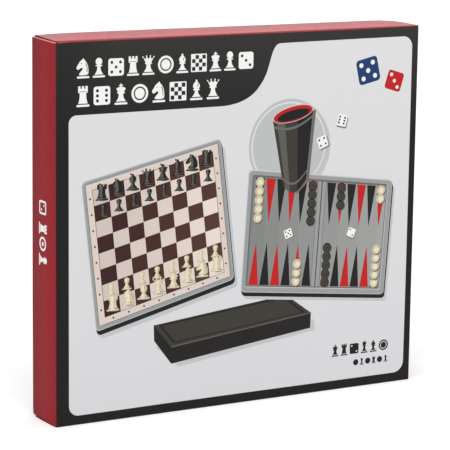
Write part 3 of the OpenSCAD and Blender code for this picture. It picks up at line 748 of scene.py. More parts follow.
def front_panel():
    """The light panel, with the dark tab cut out of its top left."""
    x0, x1, z0, z1, zt = -167.7, 173.4, 8.05, 317.05, 264.35
    arc = lambda cx, cz, rr, a0, a1, n=14: [(cx + rr * math.cos(math.radians(a0 + (a1 - a0) * i / n)), cz + rr * math.sin(math.radians(a0 + (a1 - a0) * i / n))) for i in range(n + 1)]
    p = arc(x0 + 9, z0 + 9, 9, 180, 270) + [(-120, z0 + 0.02), (-80, z0 + 0.28), (0, z0 + 0.36), (120, z0 + 0.28)]
    p += arc(x1 - 0.35 - 10.5, z0 + 0.3 + 10.5, 10.5, 270, 360) + [(x1 - 0.05, 75), (x1 + 0.05, 160)] + arc(x1 - 9.5, z1 - 9.5, 9.5, 0, 90)
    p += [(118, z1 - 0.2), (86, z1 - 0.42), (50, z1 - 0.68)]
    p += bezier((36.5, z1 - 0.85), (31.0, z1 - 0.85), (28.9, 312.2), (26.0, 303.0), 14)
    p += bezier((26.0, 303.0), (22.4, 290.6), (20.8, 286.0), (12.3, 276.5), 16)
    p += bezier((12.3, 276.5), (3.7, 268.4), (-8.0, zt + 0.1), (-26.0, zt), 16)
    p += arc(x0 - 0.6 + 7, zt - 7, 7, 90, 180)
    return p


def front_art():
    s = []
    # the two rows of pictograms on the tab
    s += row(["knight", "pawn", "die5", "rook", "queen", "disc", "bishop", "chequer", "king", "pawn", "die3"], -161.0, 8.6, 294.9, 16.6, "white", "ground_black")
    s += row(["rook", "die6", "king", "disc", "knight", "chequer", "bishop", "queen"], -161.0, -24.8, 271.2, 17.6, "white", "ground_black")
    s += emblem()
    # lower right: small dark pictograms
    s += row(["king", "rook", "die2", "pawn", "bishop", "disc"], *[R(x, 0)[0] for x in (1102, 1344)], R(0, 1178)[1], 10.9, "ink_black", "panel")
    s += row(["disc", "pawn", "disc", "rook", "disc", "pawn"], *[R(x, 0)[0] for x in (1196, 1344)], R(0, 1221)[1], 6.2, "ink_black", "panel")
    s += picture()
    return s


def emblem():
    out = []
    for (x, y), h, rot, key, n in ((R(1240, 195), 25.5, 0.22, "ink_blue", 5), (R(1330, 225), 19.5, -0.30, "ink_red", 3)):
        out += place([(rounded(-0.49, -0.01, 0.49, 0.97, 0.16, 6), "panel"), (rounded(-0.44, 0.04, 0.44, 0.92, 0.13, 6), "fill")] +
                     [(circle(0.24 * a, 0.48 + 0.24 * b2, 0.085, 20), "white") for a, b2 in PIPS[n]], x, y, h, key, "white", rot)
    return out


def shade(pts, dx, dy):
    return [(x + dx, y + dy) for x, y in pts]


def stand(kind, c, h, base, hi, lo):
    """A chessman of the picture with a lit and a shaded side and a soft shadow."""
    out = [(circle(c[0] + 0.13 * h, c[1] + 0.05 * h, h * 0.34, 20, ry=h * 0.10), "ink_shade")]
    body = [([(x * 1.24, y) for x, y in q], k) for q, k in man(kind, "cutline")]
    out += place([(q, k) for q, k in body if k == "fill"], c[0] + 0.035 * h, c[1], h, lo, lo)
    out += place([(q, lo if k == "cutline" else k) for q, k in body], c[0], c[1], h, base, lo)
    out += place([([(x * 0.38 - 0.055, 0.06 + y * 0.90) for x, y in q], k) for q, k in body if k == "fill"], c[0], c[1], h, hi, hi)
    return out


def checker(c, r, base, hi, lo):
    return [(circle(c[0] + 0.4, c[1] - 0.6, r, 24), "ink_dark2"), (circle(c[0], c[1], r, 24), lo), (circle(c[0] - 0.15, c[1] + 0.2, r * 0.94, 24), base),
            (circle(c[0], c[1], r * 0.68, 20), lo), (circle(c[0] + 0.1, c[1] - 0.1, r * 0.60, 20), hi)]


def soft_quad(f, s0, t0, s1, t1, r, n=5):
    """A rectangle with rounded corners, seen through the map f."""
    return [f(x, y) for x, y in rounded(s0, t0, s1, t1, r, n)]


def picture():
    """A generic still life of traditional boards and pieces."""
    out = []
    q = lambda *pts: [R(*p) for p in pts]
    # storage tray
    out.append((q((380, 1062), (470, 1142), (1030, 1070), (1022, 1030)), "ink_shadow"))
    out.append((q((372, 985), (905, 930), (1010, 1005), (440, 1068)), "ink_dark"))
    out.append((q((392, 986), (898, 935), (985, 1000), (450, 1056)), "ink_dark2"))
    out.append((q((404, 990), (893, 941), (972, 999), (456, 1051)), "ink_dark"))
    out.append((q((440, 1068), (1010, 1005), (1008, 1060), (442, 1128)), "ink_dark2"))
    out.append((q((372, 985), (440, 1068), (442, 1128), (374, 1040)), "ink_black"))
    out.append((q((440, 1066), (1010, 1003), (1010, 1007), (440, 1071)), "ink_dark3"))
    # round mat
    out.append((circle(*shade([R(905, 395)], 2.0, -2.5)[0], 41, 72), "ink_shadow"))
    out.append((circle(*R(905, 395), 41, 72), "ink_mid"))
    out.append((circle(*R(905, 395), 38.5, 72), "panel"))
    out.append((circle(*R(905, 395), 37, 72), "ink_mid"))
    # backgammon board
    f = quad_map(*q((742, 468), (1345, 548), (1318, 968), (716, 902)))
    out.append((shade(soft_quad(f, 0, 0, 1, 1, 0.03), 3.0, -6.5), "ink_shadow"))
    out.append((shade(soft_quad(f, 0, 0, 1, 1, 0.03), 1.0, -3.6), "ink_black"))
    out.append((shade(soft_quad(f, 0, 0, 1, 1, 0.03), 0.5, -1.8), "ink_black"))
    out.append((soft_quad(f, 0, 0, 1, 1, 0.03), "frame_hi"))
    out.append((soft_quad(f, 0.006, 0.010, 0.998, 0.996, 0.028), "frame"))
    out.append((soft_quad(f, 0.030, 0.042, 0.970, 0.958, 0.012), "frame_hi"))
    out.append((soft_quad(f, 0.030, 0.042, 0.966, 0.952, 0.012), "frame_lo"))
    out += [(band(f, 0.040 + 0.046 * i, 0.058, 0.086 + 0.046 * i, 0.942), "field") for i in range(20)]
    out.append((band(f, 0.470, 0.058, 0.530, 0.942), "frame_lo"))
    out.append((band(f, 0.473, 0.058, 0.527, 0.942), "frame"))
    out.append((band(f, 0.497, 0.058, 0.503, 0.942), "ink_dark"))
    w = (0.472 - 0.045) / 6
    for side in (0, 1):
        for i in range(6):
            s0 = (0.045 if side == 0 else 0.531) + i * w
            for up in (0, 1):
                k = "ink_red" if (i + up) % 2 else "ink_black"
                t0, t1 = (0.062, 0.42) if up == 0 else (0.938, 0.58)
                out.append(([f(s0 + w * 0.06, t0), f(s0 + w * 0.94, t0), f(s0 + w / 2, t1)], k))
    for col_, up, key, n in ((0, 0, "ivory", 5), (4, 1, "ivory", 3), (6, 1, "ink_black", 5), (11, 0, "ivory", 2), (7, 0, "ink_black", 3), (5, 0, "ink_black", 5), (11, 1, "ivory", 5)):
        s0 = (0.045 + col_ * w if col_ < 6 else 0.531 + (col_ - 6) * w) + w / 2
        for k in range(n):
            c = f(s0, 0.098 + k * 0.073 if up == 0 else 0.902 - k * 0.073)
            out += checker(c, 4.5, key, "ivory_hi" if key == "ivory" else "ink_dark", "ivory_lo" if key == "ivory" else "ink_dark3")
    for (ds, dt), rot, n in (((0.30, 0.50), 0.3, 5), ((0.72, 0.47), -0.4, 2)):
        c = f(ds, dt)
        out += die_picture(c[0], c[1], 9.0, rot, n)
    # dice cup
    def side_of_cup(a, b2, key):
        top = lambda k: R(836 + 166 * k, 300 - 32 * k + 20 * math.sin(PI * k))
        low = lambda k: R(884 + 94 * k, 540 - 20 * k + 34 * math.sin(PI * k))
        ks = [a + (b2 - a) * i / 6 for i in range(7)]
        return ([top(k) for k in ks] + [low(k) for k in reversed(ks)], key)
    out.append((shade([R(836, 300), R(1002, 268), R(978, 520), R(930, 562), R(884, 540)], 3.0, -1.6), "ink_shade"))
    for a, b2, key in ((0, 0.10, "ink_dark"), (0.10, 0.30, "ink_dark3"), (0.30, 0.62, "ink_dark"), (0.62, 0.86, "ink_dark2"), (0.86, 1.0, "ink_black")):
        out.append(side_of_cup(a, b2, key))
    for k0, k1 in ((0.10, 0.135), (0.86, 0.89)):
        top = lambda k, d: (lambda u, l: (u[0] + (l[0] - u[0]) * d, u[1] + (l[1] - u[1]) * d))(R(836 + 166 * k, 300 - 32 * k + 20 * math.sin(PI * k)), R(884 + 94 * k, 540 - 20 * k + 34 * math.sin(PI * k)))
        out.append(([top(k / 12, k0) for k in range(13)] + [top(k / 12, k1) for k in range(12, -1, -1)], "frame_lo"))
    out.append((circle(*R(919, 284), 21.2, 48, ry=7.2, rot=0.19), "frame_hi"))
    out.append((circle(*R(919.5, 285), 20.3, 48, ry=6.5, rot=0.19), "ink_red"))
    out.append((circle(*R(921, 289), 17.0, 40, ry=4.4, rot=0.19), "ink_black"))
    out += die_picture(*R(1052, 390), 11.5, 0.35, 4) + die_picture(*R(1118, 318), 11.5, -0.25, 6)
    # chess board
    g = quad_map(*q((92, 468), (628, 352), (690, 852), (150, 985)))
    out.append((shade(soft_quad(g, 0, 0, 1, 1, 0.03), 4.0, -7.0), "ink_shadow"))
    out.append((shade(soft_quad(g, 0, 0, 1, 1, 0.03), 1.3, -3.8), "ink_black"))
    out.append((shade(soft_quad(g, 0, 0, 1, 1, 0.03), 0.6, -1.9), "ink_black"))
    out.append((soft_quad(g, 0, 0, 1, 1, 0.03), "frame_hi"))
    out.append((soft_quad(g, 0.006, 0.008, 0.998, 0.996, 0.028), "frame"))
    out.append((soft_quad(g, 0.024, 0.026, 0.976, 0.974, 0.010), "frame_lo"))
    out.append((band(g, 0.028, 0.030, 0.972, 0.970), "cream"))
    out.append((band(g, 0.068, 0.072, 0.932, 0.928), "brown"))
    q8s, q8t = (0.929 - 0.071) / 8, (0.925 - 0.075) / 8
    for i in range(8):
        for j in range(8):
            out.append((band(g, 0.071 + i * q8s, 0.075 + j * q8t, 0.071 + (i + 1) * q8s, 0.075 + (j + 1) * q8t), "brown" if (i + j) % 2 else "cream"))
        for c in (g(0.071 + (i + 0.5) * q8s, 0.051), g(0.071 + (i + 0.5) * q8s, 0.949), g(0.049, 0.075 + (i + 0.5) * q8t), g(0.951, 0.075 + (i + 0.5) * q8t)):
            out.append((circle(c[0], c[1], 0.9, 12), "brown"))
    back = ["rook", "knight", "bishop", "queen", "king", "bishop", "knight", "rook"]
    dark, pale = ("ink_black", "ink_dark3", "ink_black"), ("ivory", "ivory_hi", "ivory_lo")
    for rowt, kinds, tones in ((0, back, dark), (1, ["pawn"] * 8, dark), (6, ["pawn"] * 8, pale), (7, back, pale)):
        for i, kind in enumerate(kinds):
            c = g(0.071 + (i + 0.5) * q8s, 0.075 + (rowt + 0.80) * q8t)
            out += stand(kind, c, 10.5 if kind == "pawn" else 14.0, *tones)
    return out


def die_picture(x, y, h, rot, n):
    y -= h / 2
    return place([(shade(rounded(-0.46, 0.02, 0.46, 0.94, 0.13, 5), 0.07, -0.10), "ink_shade"), (rounded(-0.46, 0.02, 0.46, 0.94, 0.13, 5), "frame_hi"),
                  (rounded(-0.44, 0.06, 0.42, 0.94, 0.12, 5), "white")] +
                 [(circle(0.23 * a - 0.01, 0.50 + 0.23 * b2, 0.085, 14), "ink_black") for a, b2 in PIPS[n]], x, y, h, "white", "ink_black", rot)


def side_art():
    """A few small pictograms down the middle of a side wall, turned a quarter."""
    s = []
    for z, k, h in ((184.6, "outline_dice", 14.0), (166.6, "rook", 15.0), (153.6, "ring", 14.0), (139.8, "pawn", 15.0)):
        s += place(icon(k), -9.2, z, h, "white", "ground_red", -PI / 2)
    return s


def back_art():
    s = [(rounded(-168.3, 8, 168.3, 316.2, 8.5, 12), "panel")]
    s += row(["king", "queen", "rook", "bishop", "knight", "pawn", "disc", "die5"], -140, 140, 262, 24, "ink_black", "panel")
    x0, z0, q = -140.0, 60.0, 22.0
    s.append(([(x0 - 5, z0 - 5), (x0 + 8 * q + 5, z0 - 5), (x0 + 8 * q + 5, z0 + 8 * q + 5), (x0 - 5, z0 + 8 * q + 5)], "frame"))
    for i in range(8):
        for j in range(8):
            s.append(([(x0 + i * q, z0 + j * q), (x0 + (i + 1) * q, z0 + j * q), (x0 + (i + 1) * q, z0 + (j + 1) * q), (x0 + i * q, z0 + (j + 1) * q)], "cream" if (i + j) % 2 else "brown"))
    bx0, bx1 = 52.0, 145.0
    s.append(([(bx0 - 5, z0 - 5), (bx1 + 5, z0 - 5), (bx1 + 5, z0 + 8 * q + 5), (bx0 - 5, z0 + 8 * q + 5)], "frame"))
    for i in range(12):
        xa, xb = bx0 + (bx1 - bx0) * i / 12, bx0 + (bx1 - bx0) * (i + 1) / 12
        s.append(([(xa, z0), (xb, z0), (xb, z0 + 8 * q), (xa, z0 + 8 * q)], "field"))
    w = (8 * q - 8) / 12
    for i in range(12):
        zz = z0 + i * w + (8 if i > 5 else 0)
        for side in (0, 1):
            xs = (bx0, bx0 + 37) if side == 0 else (bx1, bx1 - 37)
            s.append(([(xs[0], zz + 0.5), (xs[0], zz + w - 0.5), (xs[1], zz + w / 2)], "ink_red" if (i + side) % 2 else "ink_black"))
    s.append(([(bx0, z0 + 6 * w), (bx1, z0 + 6 * w), (bx1, z0 + 6 * w + 8), (bx0, z0 + 6 * w + 8)], "frame"))
    s += row(["die1", "die2", "die3", "die4", "die5", "die6"], -60, 60, 24, 13, "ink_black", "panel")
    return s


# ------------------------------------------------------------------ carton walls
# W 360, D 45, straight wall 325, board 1.5. t is the board, folds are 1.5 round.

T = 1.5
XI, YI, HW, HD, H = 178.5, 21.0, 180.0, 22.5, 325.0
ST, SB = H - 0.1 - T, 2 * T + 0.1          # fold lines of the dust flaps
Q = T * PI / 2                             # length of a quarter fold along the outside


def crease(t, r, rho=0.55):
    """Offsets along the two faces' outward directions on a pressed fold: nearly square, rho round."""
    rho = min(rho, r)
    k = r - rho
    d = np.clip(t, 0, 1) * (2 * k + rho * PI / 2)
    a = np.clip((d - k) / max(rho, 1e-6), 0, PI / 2)
    return k + rho * np.cos(a) - np.maximum(0, d - k - rho * PI / 2), np.minimum(d, k) + rho * np.sin(a)


def ease(t):
    t = np.clip(t, 0, 1)
    return t * t * (3 - 2 * t)


def warp(p):
    """The filled carton stands a little proud of square: its right end by 0.7 mm, its back left edge by half."""
    x, y, z = p[:, 0], p[:, 1], p[:, 2]
    nx = x + 0.75 * ease((x - 120) / 58)
    ny = y + 0.55 * ease((-x - 120) / 58) * ease(y / 21) * ease((z - 25) / 90)
    return np.stack([nx, ny, z], 1)


def dent(x, z):
    """Slight unevenness of a large board, zero at its edges."""
    e = np.clip((HW - np.abs(x)) / 30, 0, 1) * np.clip(z / 30, 0, 1) * np.clip((H - z) / 30, 0, 1)
    return e * (0.10 * np.sin(x / 61 + 0.8) * np.sin(z / 83 + 0.4) + 0.06 * np.sin(x / 23 + z / 47))


def front_at(depth):
    def f(u, v):
        # in the folds the board lies just under the printed liner that bends over it
        under = 0.24 * ease(np.maximum((v - H) / 0.25, (T - v) / 0.25)) if depth == 0 else 0.0
        t = np.where(v > H, (v - H) / Q, np.where(v < T, (T - v) / Q, 0))
        c, k = crease(t, T - depth)
        cz = np.clip(v, T, H)
        return warp(arr(u, -YI - np.maximum(c - under, 0) + dent(u, v) * (t <= 0), cz + np.where(v > H, 1, -1) * np.maximum(k - under * (t > 0), 0) * (t > 0)))
    return f


def wall_at(sign, depth):
    """Side wall with its vertical folds and the folds of its dust flaps: u runs from the back to the front."""
    def f(u, v):
        r = T - depth
        ca, sa = crease((np.abs(u) - YI) / Q, r)
        cb, sb = crease(np.where(v > ST, (v - ST) / Q, (SB - v) / Q), r)
        sa = sa * (np.abs(u) > YI)
        sb = sb * ((v > ST) | (v < SB))
        cy = -np.clip(u, -YI, YI)
        over = np.maximum(np.maximum(v - ST - Q, SB - Q - v), 0)       # past the fold, on the dust flap
        x = over - (XI + ca * cb / r)
        y = cy - np.sign(u) * sa * cb / r
        z = np.clip(v, SB, ST) + np.where(v > ST, 1, -1) * sb
        # the top fold stands higher towards the back, the bottom one lower towards the front
        rise = (0.60 + 0.80 * ease((y + 21) / 43)) if sign < 0 else (1.35 - 0.75 * ease((y + 22) / 30))
        z = z + ease((v - ST + 12) / 12) * (0.1 * (1 - ease(over)) + (rise - 0.1) * (1 - ease((v - ST - Q * 0.62) / (Q * 0.3))))
        z = z - ease((SB + 10 - v) / 10) * (1.35 - 0.85 * ease((y + 22.5) / 40)) * (1 - ease(over))
        # the lower back corner is knocked soft
        d = np.hypot(y - HD, z - 1.6)
        k = np.clip(1 - d / 9.0, 0, 1) ** 2 * 1.1
        y, z = y - k * 0.55, z + k * 0.75
        x = x - 0.15 * np.sin(z / 105) * np.sin((y + HD) / 45 * PI) * np.clip(z / 25, 0, 1) * np.clip((ST - z) / 25, 0, 1)
        return warp(arr(-sign * x, y, z))
    return f


def make_walls():
    keys = KEYS
    arcs = [H + Q * k for k in (0.04, 0.1, 0.34, 0.43, 0.5, 0.57, 0.66)] + [T - Q * k for k in (0.04, 0.1, 0.34, 0.43, 0.5, 0.57, 0.66)] + [H, T]
    b = Build("front_board", keys)
    box = [(-XI, T - Q), (XI, T - Q), (XI, H + Q), (-XI, H + Q)]
    # the shaded red strip at the top left of the front's fold is painted shade
    sheet(b, box, front_at(0), front_at(1.45), "black", "liner", "black", [(front_panel(), "panel"), ([(-181, H - 0.27), (-174, H - 0.27), (-170.5, H), (-170.5, H + Q + 1), (-181, H + Q + 1)], "fold_red")], step=5.0, extra_v=arcs)
    b.object("carton", ["front_panel"], face=-1)
    printed("front_print", "carton", front_art(), lambda u, v, w: front_at(0)(u, v) - arr(0 * u, w, 0 * u), graded=((-155, -15), (0, 160)))

    for sign, name, node_ in ((-1, "left_board", "left_side_panel"), (1, "right_board", "right_side_panel")):
        b = Build(name, keys)
        ub = YI - 0.9                       # the dust flaps' folds run from -ub to ub
        lo_, hi_ = SB + 1.2, ST - 1.2
        box = [(-YI - Q, SB - Q), (-ub, SB - Q), (-ub, lo_), (ub, lo_), (ub, SB - Q), (YI + Q, SB - Q),
               (YI + Q, ST + Q), (ub, ST + Q), (ub, hi_), (-ub, hi_), (-ub, ST + Q), (-YI - Q, ST + Q)]
        edge_u = YI + Q * 0.5
        marks = side_art() if sign < 0 else [([(-x, z) for x, z in p], k) for p, k in side_art()]
        # a painted highlight along the wall's top fold
        art = [([(-YI - 0.9, ST + Q * 0.34), (YI + 0.7, ST + Q * 0.20), (YI + 0.7, ST + Q * 0.66), (-YI - 0.9, ST + Q * 0.66)], "red_crease_painted_highlight"),
               # painted shade along the wall's bottom fold
               ([(-YI - 2, SB - Q), (YI + 2, SB - Q), (YI + 2, SB - Q * 0.34), (-YI - 2, SB - Q * 0.34)], "red_dark"),
               ([(edge_u + 0.26, 0), (YI + Q + 1, 0), (YI + Q + 1, ST + 0.45), (edge_u, ST + 0.45), (edge_u, 180)], "black"),
               ([(-edge_u, 0), (-YI - Q - 1, 0), (-YI - Q - 1, H + 3), (-edge_u, H + 3)], "black")]
        ring = (0, 0.2, 0.34, 0.43, 0.5, 0.57, 0.66, 0.8)
        eu = [YI + Q * k for k in ring]
        ev = [ST + Q * k for k in ring] + [SB - Q * k for k in ring]
        sheet(b, box, wall_at(sign, 0), wall_at(sign, 1.45), "red", "liner", lambda u, v: "black" if abs(u) > edge_u and v < ST else "red", art, step=4.0,
              extra_u=eu + [-x for x in eu], extra_v=ev)
        b.object("carton", [node_])
        printed(f"{name[:-6]}_side_print", "carton", marks, lambda u, v, w, q=sign: wall_at(q, 0)(u, v) + arr(q * w + 0 * u, 0 * u, 0 * u))

        # the printed liner that runs round each dust flap's fold
        for top in (True, False):
            v0, q = (ST, 1) if top else (SB, -1)
            b = Build(f"{'top' if top else 'bottom'}_flap_{name[:-6]}_fold_liner", keys)
            end = Q + 1.6
            box = [(-ub, v0 - 2.0 * q), (ub, v0 - 2.0 * q), (ub, v0 + Q * 0.8 * q), (19.2, v0 + Q * q), (19.2, v0 + end * q),
                   (-16.3, v0 + end * q), (-16.3, v0 + Q * q), (-ub, v0 + Q * 0.8 * q)]
            sheet(b, box[::q], wall_at(sign, -0.02), wall_at(sign, 0.18), "red", "liner", "red", art[:2], step=3.0,
                  extra_v=[v0 + Q * k * q for k in ring + (1.0, 1.2, 1.4)] + [v0 - k * q for k in (0.4, 0.9, 1.4)])
            o = b.object(None)
            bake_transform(o)

    b = Build("back_board", keys)
    box = [(-XI, 0.0), (XI, 0.0), (XI, H - T), (-XI, H - T)]

    def bk(w):
        def f(u, v):
            k = np.clip(1 - np.hypot(np.asarray(u) + XI, np.asarray(v) - 1.6) / 9.0, 0, 1) ** 2 * 1.1
            return warp(arr(u, YI + w + 0.6 * dent(u, v) - k * 0.55, v + k * 0.75))
        return f
    art = back_art()
    sheet(b, box, bk(T), bk(T - 0.25), "black", "liner", "raw", [q for q in art if q[1] == "panel"][:1], step=6.0)
    sheet(b, box, bk(0.25), bk(0.0), "liner", "liner", "raw", step=10.0)
    flutes(b, box, lambda u, v, w: bk(w)(u, v), "kraft", "v")
    b.object("carton", ["back_panel"], face=1)
    printed("back_print", "carton", art[1:], lambda u, v, w: bk(T + w)(u, v), graded=((-145, 40), (40, 160)))


# ------------------------------------------------------------------ closures

REACH, TAB_W, LID_W = 40.0, 335.0, 358.8
TILT = math.radians(1.0)


def lid_outline(y_end, r, y0):
    h = LID_W / 2
    t = TAB_W / 2
    right = [(h, y0), (h, y_end - r)] + [(h - r + r * math.cos(a), y_end - r + r * math.sin(a)) for a in (PI / 2 * i / 10 for i in range(1, 11))]
    right += [(t + 0.06, y_end), (t + 0.06, REACH - 5), (t, REACH - 5), (t, REACH)]
    return right + [(-x, y) for x, y in reversed(right)]


BOW_X = [-179.4, -172, -160, -150, -130, -88, -59, -20, 20, 60, 104, 136, 168, 179.4]
BOW_Z = [0.66, 0.76, 0.94, 1.14, 1.20, 1.14, 1.16, 0.92, 0.90, 0.72, 0.74, 0.66, 0.66, 0.20]


def bow(x, s):
    """How far the top closure stands off its own flat: it lifts along the back and sinks at both ends."""
    x = np.asarray(x, float)
    return np.interp(x, BOW_X, BOW_Z) * ease(s / 42.0) - 0.42 * ease((x - 152) / 27) * ease((s - 22) / 13)


def curl(x, s):
    """How far the bottom closure gives way upwards at its back left corner."""
    return 0.4 * ease((-x - 150) / 30) * ease((s - 22) / 20)


def make_closure(top):
    name = "top_lid" if top else "bottom_closure"
    key = "lid_red"
    b = Build(name + "_board", [key, "liner", "edge", "core", "fold_red"])
    y_end, r = (41.7, 2.5) if top else (41.5, 6.0)

    def frame_(y, z, x):
        if top:
            return warp(arr(x, -YI + y * math.cos(TILT) - z * math.sin(TILT), H + y * math.sin(TILT) + z * math.cos(TILT)))
        return warp(arr(x, -YI + y, T - z))

    def at(w):
        def f(u, v):
            u, v = np.asarray(u, float), np.asarray(v, float)
            lift = bow(u, v) if top else -curl(u, v)
            lift = lift - (np.abs(u) > TAB_W / 2 + 0.03) * 0.30 * ease((v - 36.5) / 5.0)
            if not top:     # it sits a little to the left, its cut edge showing under the wall
                u = u - 0.75 * (w / T) ** 1.5 * ease((-u - 168.5) / 9.0) * ease((v - 1.0) / 7.0)
            return frame_(v, w + lift, u)
        return f
    out = lid_outline(y_end, r, T + 0.06)
    # painted shade: the shaded red over the lid's left front corner
    strip = [([(-182, 0), (-122, 0), (-122, 3.6), (-150, 5.2), (-170, 4.6), (-182, 2.4)], "fold_red")] if top else []
    # the dark maroon cut edge and middle layers are painted shade
    sheet(b, out, at(T), at(T - 0.25), key, "core", "edge", strip, step=4.0)
    sheet(b, out, at(0.25), at(0.0), "core", "liner", "edge", step=6.0)
    flutes(b, out, lambda u, v, w: at(w)(u, v), "core", "v")
    o = b.object("top_lid" if top else "bottom_closure", [name + "_panel"])

    # the printed liner that runs round the fold of the tuck tab
    b = Build(name + "_tab_liner", [key, "liner"])
    bend_ = math.radians(104)

    def round_(d):
        def f(u, v):
            u, v = np.asarray(u, float), np.asarray(v, float)
            a = np.clip(v / T, 0, bend_)
            past = np.maximum(v - T * bend_, 0)
            y = REACH + np.minimum(v, 0) + (T + d) * np.sin(a) + past * math.cos(bend_)
            z = (T + d) * np.cos(a) - past * math.sin(bend_)
            return frame_(y, z + (bow(u, REACH) if top else -curl(u, REACH)), u)
        return f
    g = TAB_W / 2
    end = T * bend_ + 1.5
    box = [(-g, -1.2), (g, -1.2), (g, T), (g - 0.5, T * bend_), (g - 0.5, end), (-g + 0.5, end), (-g + 0.5, T * bend_), (-g, T)]
    sheet(b, box, round_(0.02), round_(-0.18), key, "liner", key, step=4.0, extra_v=[T * bend_ * k / 8 for k in range(9)])
    o = b.object(None)
    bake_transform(o)

    # the printed liner that runs round the front fold, from the wall to the closure, in the shaded red: painted shade
    key = "fold_red"
    b = Build(name + "_fold_liner", [key, "lid_red", "liner", "edge", "black"])

    def skin(d):
        def f(u, v):
            u, v = np.asarray(u, float), np.asarray(v, float)
            c, k = crease(v / Q, T)
            # one end runs in under the front's liner, the other lies on the closure's
            deep = d - 0.13 * ease(-v / 0.3) + 0.02 * ease((v - 0.8 * Q) / (0.2 * Q))
            y = np.where(v < 0, -T, np.where(v > Q, v - Q, -c))
            z = np.where(v < 0, v, np.where(v > Q, T, k))
            n = np.clip(v / Q, 0, 1) * PI / 2
            y, z = y - deep * np.cos(n), z + deep * np.sin(n)
            tl = TILT * np.clip(v / Q, 0, 1) if top else 0.0
            yy, zz = y * np.cos(tl) - z * np.sin(tl), y * np.sin(tl) + z * np.cos(tl)
            lift = np.where(v > Q, bow(u, np.maximum(v - Q, 0)) if top else -curl(u, np.maximum(v - Q, 0)), 0.0)
            return warp(arr(u, -YI + yy, (H + zz + lift) if top else (T - zz - lift)))
        return f
    h = XI + 0.1
    low = Q * 0.14 if top else Q * 0.62
    wide = LID_W / 2 - 0.02
    box = [(-h, -0.6), (h, -0.6), (h, Q * 0.30), (wide, Q * 0.45), (wide, Q + 2.4), (-wide, Q + 2.4), (-wide, Q * 0.45), (-h, Q * 0.30)]
    line = [(-h - 1, low), (h + 1, low)]
    if top:     # the black runs up to a line that rises to the right
        line = [(-h - 1, -0.27), (-174, -0.27), (-171, -0.03), (-167, 0.13), (-139, 0.19), (-120, 0.26), (-92, 0.28), (-60, 0.40), (-20, 0.42),
                (5, 0.36), (30, 0.24), (100, 0.17), (125, 0.30), (140, 0.52), (161, 0.57), (172, 0.80), (h + 1, 1.02)]
    deep = [(-h - 2, Q * 0.85), (h + 2, Q * 0.85)]
    if top:     # and at its left end the shaded red reaches further onto the closure: painted shade
        deep = [(-h - 2, Q + 1.2), (-173, Q + 3), (-118, Q + 3), (-98, Q * 0.85), (h + 2, Q * 0.85)]
    front = [([(-h - 1, -2), (h + 1, -2)] + line[::-1], "black"), (deep + [(h + 2, Q + 3.5), (-h - 2, Q + 3.5)], "lid_red")]
    sheet(b, box, skin(0.0), skin(-0.2), key, "liner", lambda u, v: "black" if v < max(low, 0.3) else key, front, step=6.0,
          extra_v=[-0.3, -0.15, 0, low] + [Q * k for k in (0.34, 0.4, 0.46, 0.5, 0.54, 0.6, 0.66, 1.0)] + [Q + k for k in (0.75, 1.5, 1.7, 1.85)])
    o = b.object(None)
    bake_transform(o)


def tab_outline(w, l, r):
    h = w / 2
    right = [(h, 0.42), (h, l - r)] + [(h - r + r * math.cos(a), l - r + r * math.sin(a)) for a in (PI / 2 * i / 10 for i in range(1, 11))]
    return right + [(-x, y) for x, y in reversed(right)]


def make_tab(top):
    name = "top_tuck_tab" if top else "bottom_tuck_tab"
    b = Build(name + "_board", ["liner", "edge", "kraft", "lid_red"])
    a = -math.radians(104)
    tl = TILT if top else 0.0
    ay, az = REACH * math.cos(tl), REACH * math.sin(tl)

    def place_(u, s, w):
        # w runs from the inner face to the outer one; near the fold the inner layers start later
        d = a + tl
        y = ay + s * math.cos(d) + w * (-math.sin(d))
        z = az + s * math.sin(d) + w * math.cos(d)
        lift = bow(np.asarray(u, float), REACH) if top else -curl(np.asarray(u, float), REACH)
        return arr(u, -YI + y, (H + z + lift) if top else (T - z - lift))
    out = tab_outline(TAB_W - 1, 14, 8)
    deep = [(x, max(y, 1.56)) for x, y in out]
    bleed = [([(-TAB_W, -1), (TAB_W, -1), (TAB_W, 5.5), (-TAB_W, 5.5)], "lid_red")]
    sheet(b, out, lambda u, v: place_(u, v, T), lambda u, v: place_(u, v, T - 0.25), "liner", "liner", "edge", bleed, step=4.0)
    sheet(b, deep, lambda u, v: place_(u, v, 0.25), lambda u, v: place_(u, v, 0.0), "liner", "liner", "edge", step=6.0)
    flutes(b, deep, place_, "kraft", "v")
    b.object("top_tab" if top else "bottom_tab", [name])


def dust_outline():
    y0, y1 = -YI + 1.6, YI - 4.5
    L = 45.0
    yf = -YI + 0.3 * L + 1.6
    p = [(0.42, y0), (4, y0), (L - 6, yf - 2), (L, yf + 4), (L, YI - 16), (L - 5, YI - 11), (8, y1), (0.42, y1)]
    return p


def make_dust(top, sign):
    name = f"{'top' if top else 'bottom'}_dust_flap_{'left' if sign < 0 else 'right'}"
    b = Build(name + "_board", ["liner_y", "edge", "kraft", "red"])

    def place_(s, y, w):
        s = np.asarray(s, float)
        x = -XI + s
        z = (ST + w) if top else (SB - w)
        return arr(-sign * x, y, z)
    out = dust_outline()
    deep = [(max(x, 1.56), y) for x, y in out]
    bleed = [([(-1, -YI), (6, -YI), (6, YI), (-1, YI)], "red")]
    sheet(b, out, lambda u, v: place_(u, v, T), lambda u, v: place_(u, v, T - 0.25), "liner_y", "liner_y", "edge", bleed, step=3.0)
    sheet(b, deep, lambda u, v: place_(u, v, 0.25), lambda u, v: place_(u, v, 0.0), "liner_y", "liner_y", "edge", step=4.0)
    flutes(b, deep, place_, "kraft", "u")
    b.object(f"{'top' if top else 'bottom'}_flap_{'left' if sign < 0 else 'right'}", [name])


make_walls()
for top in (True, False):
    make_closure(top)
    make_tab(top)
    for sign in (-1, 1):
        make_dust(top, sign)

# ------------------------------------------------------------------ what is inside: the solids keep their shape

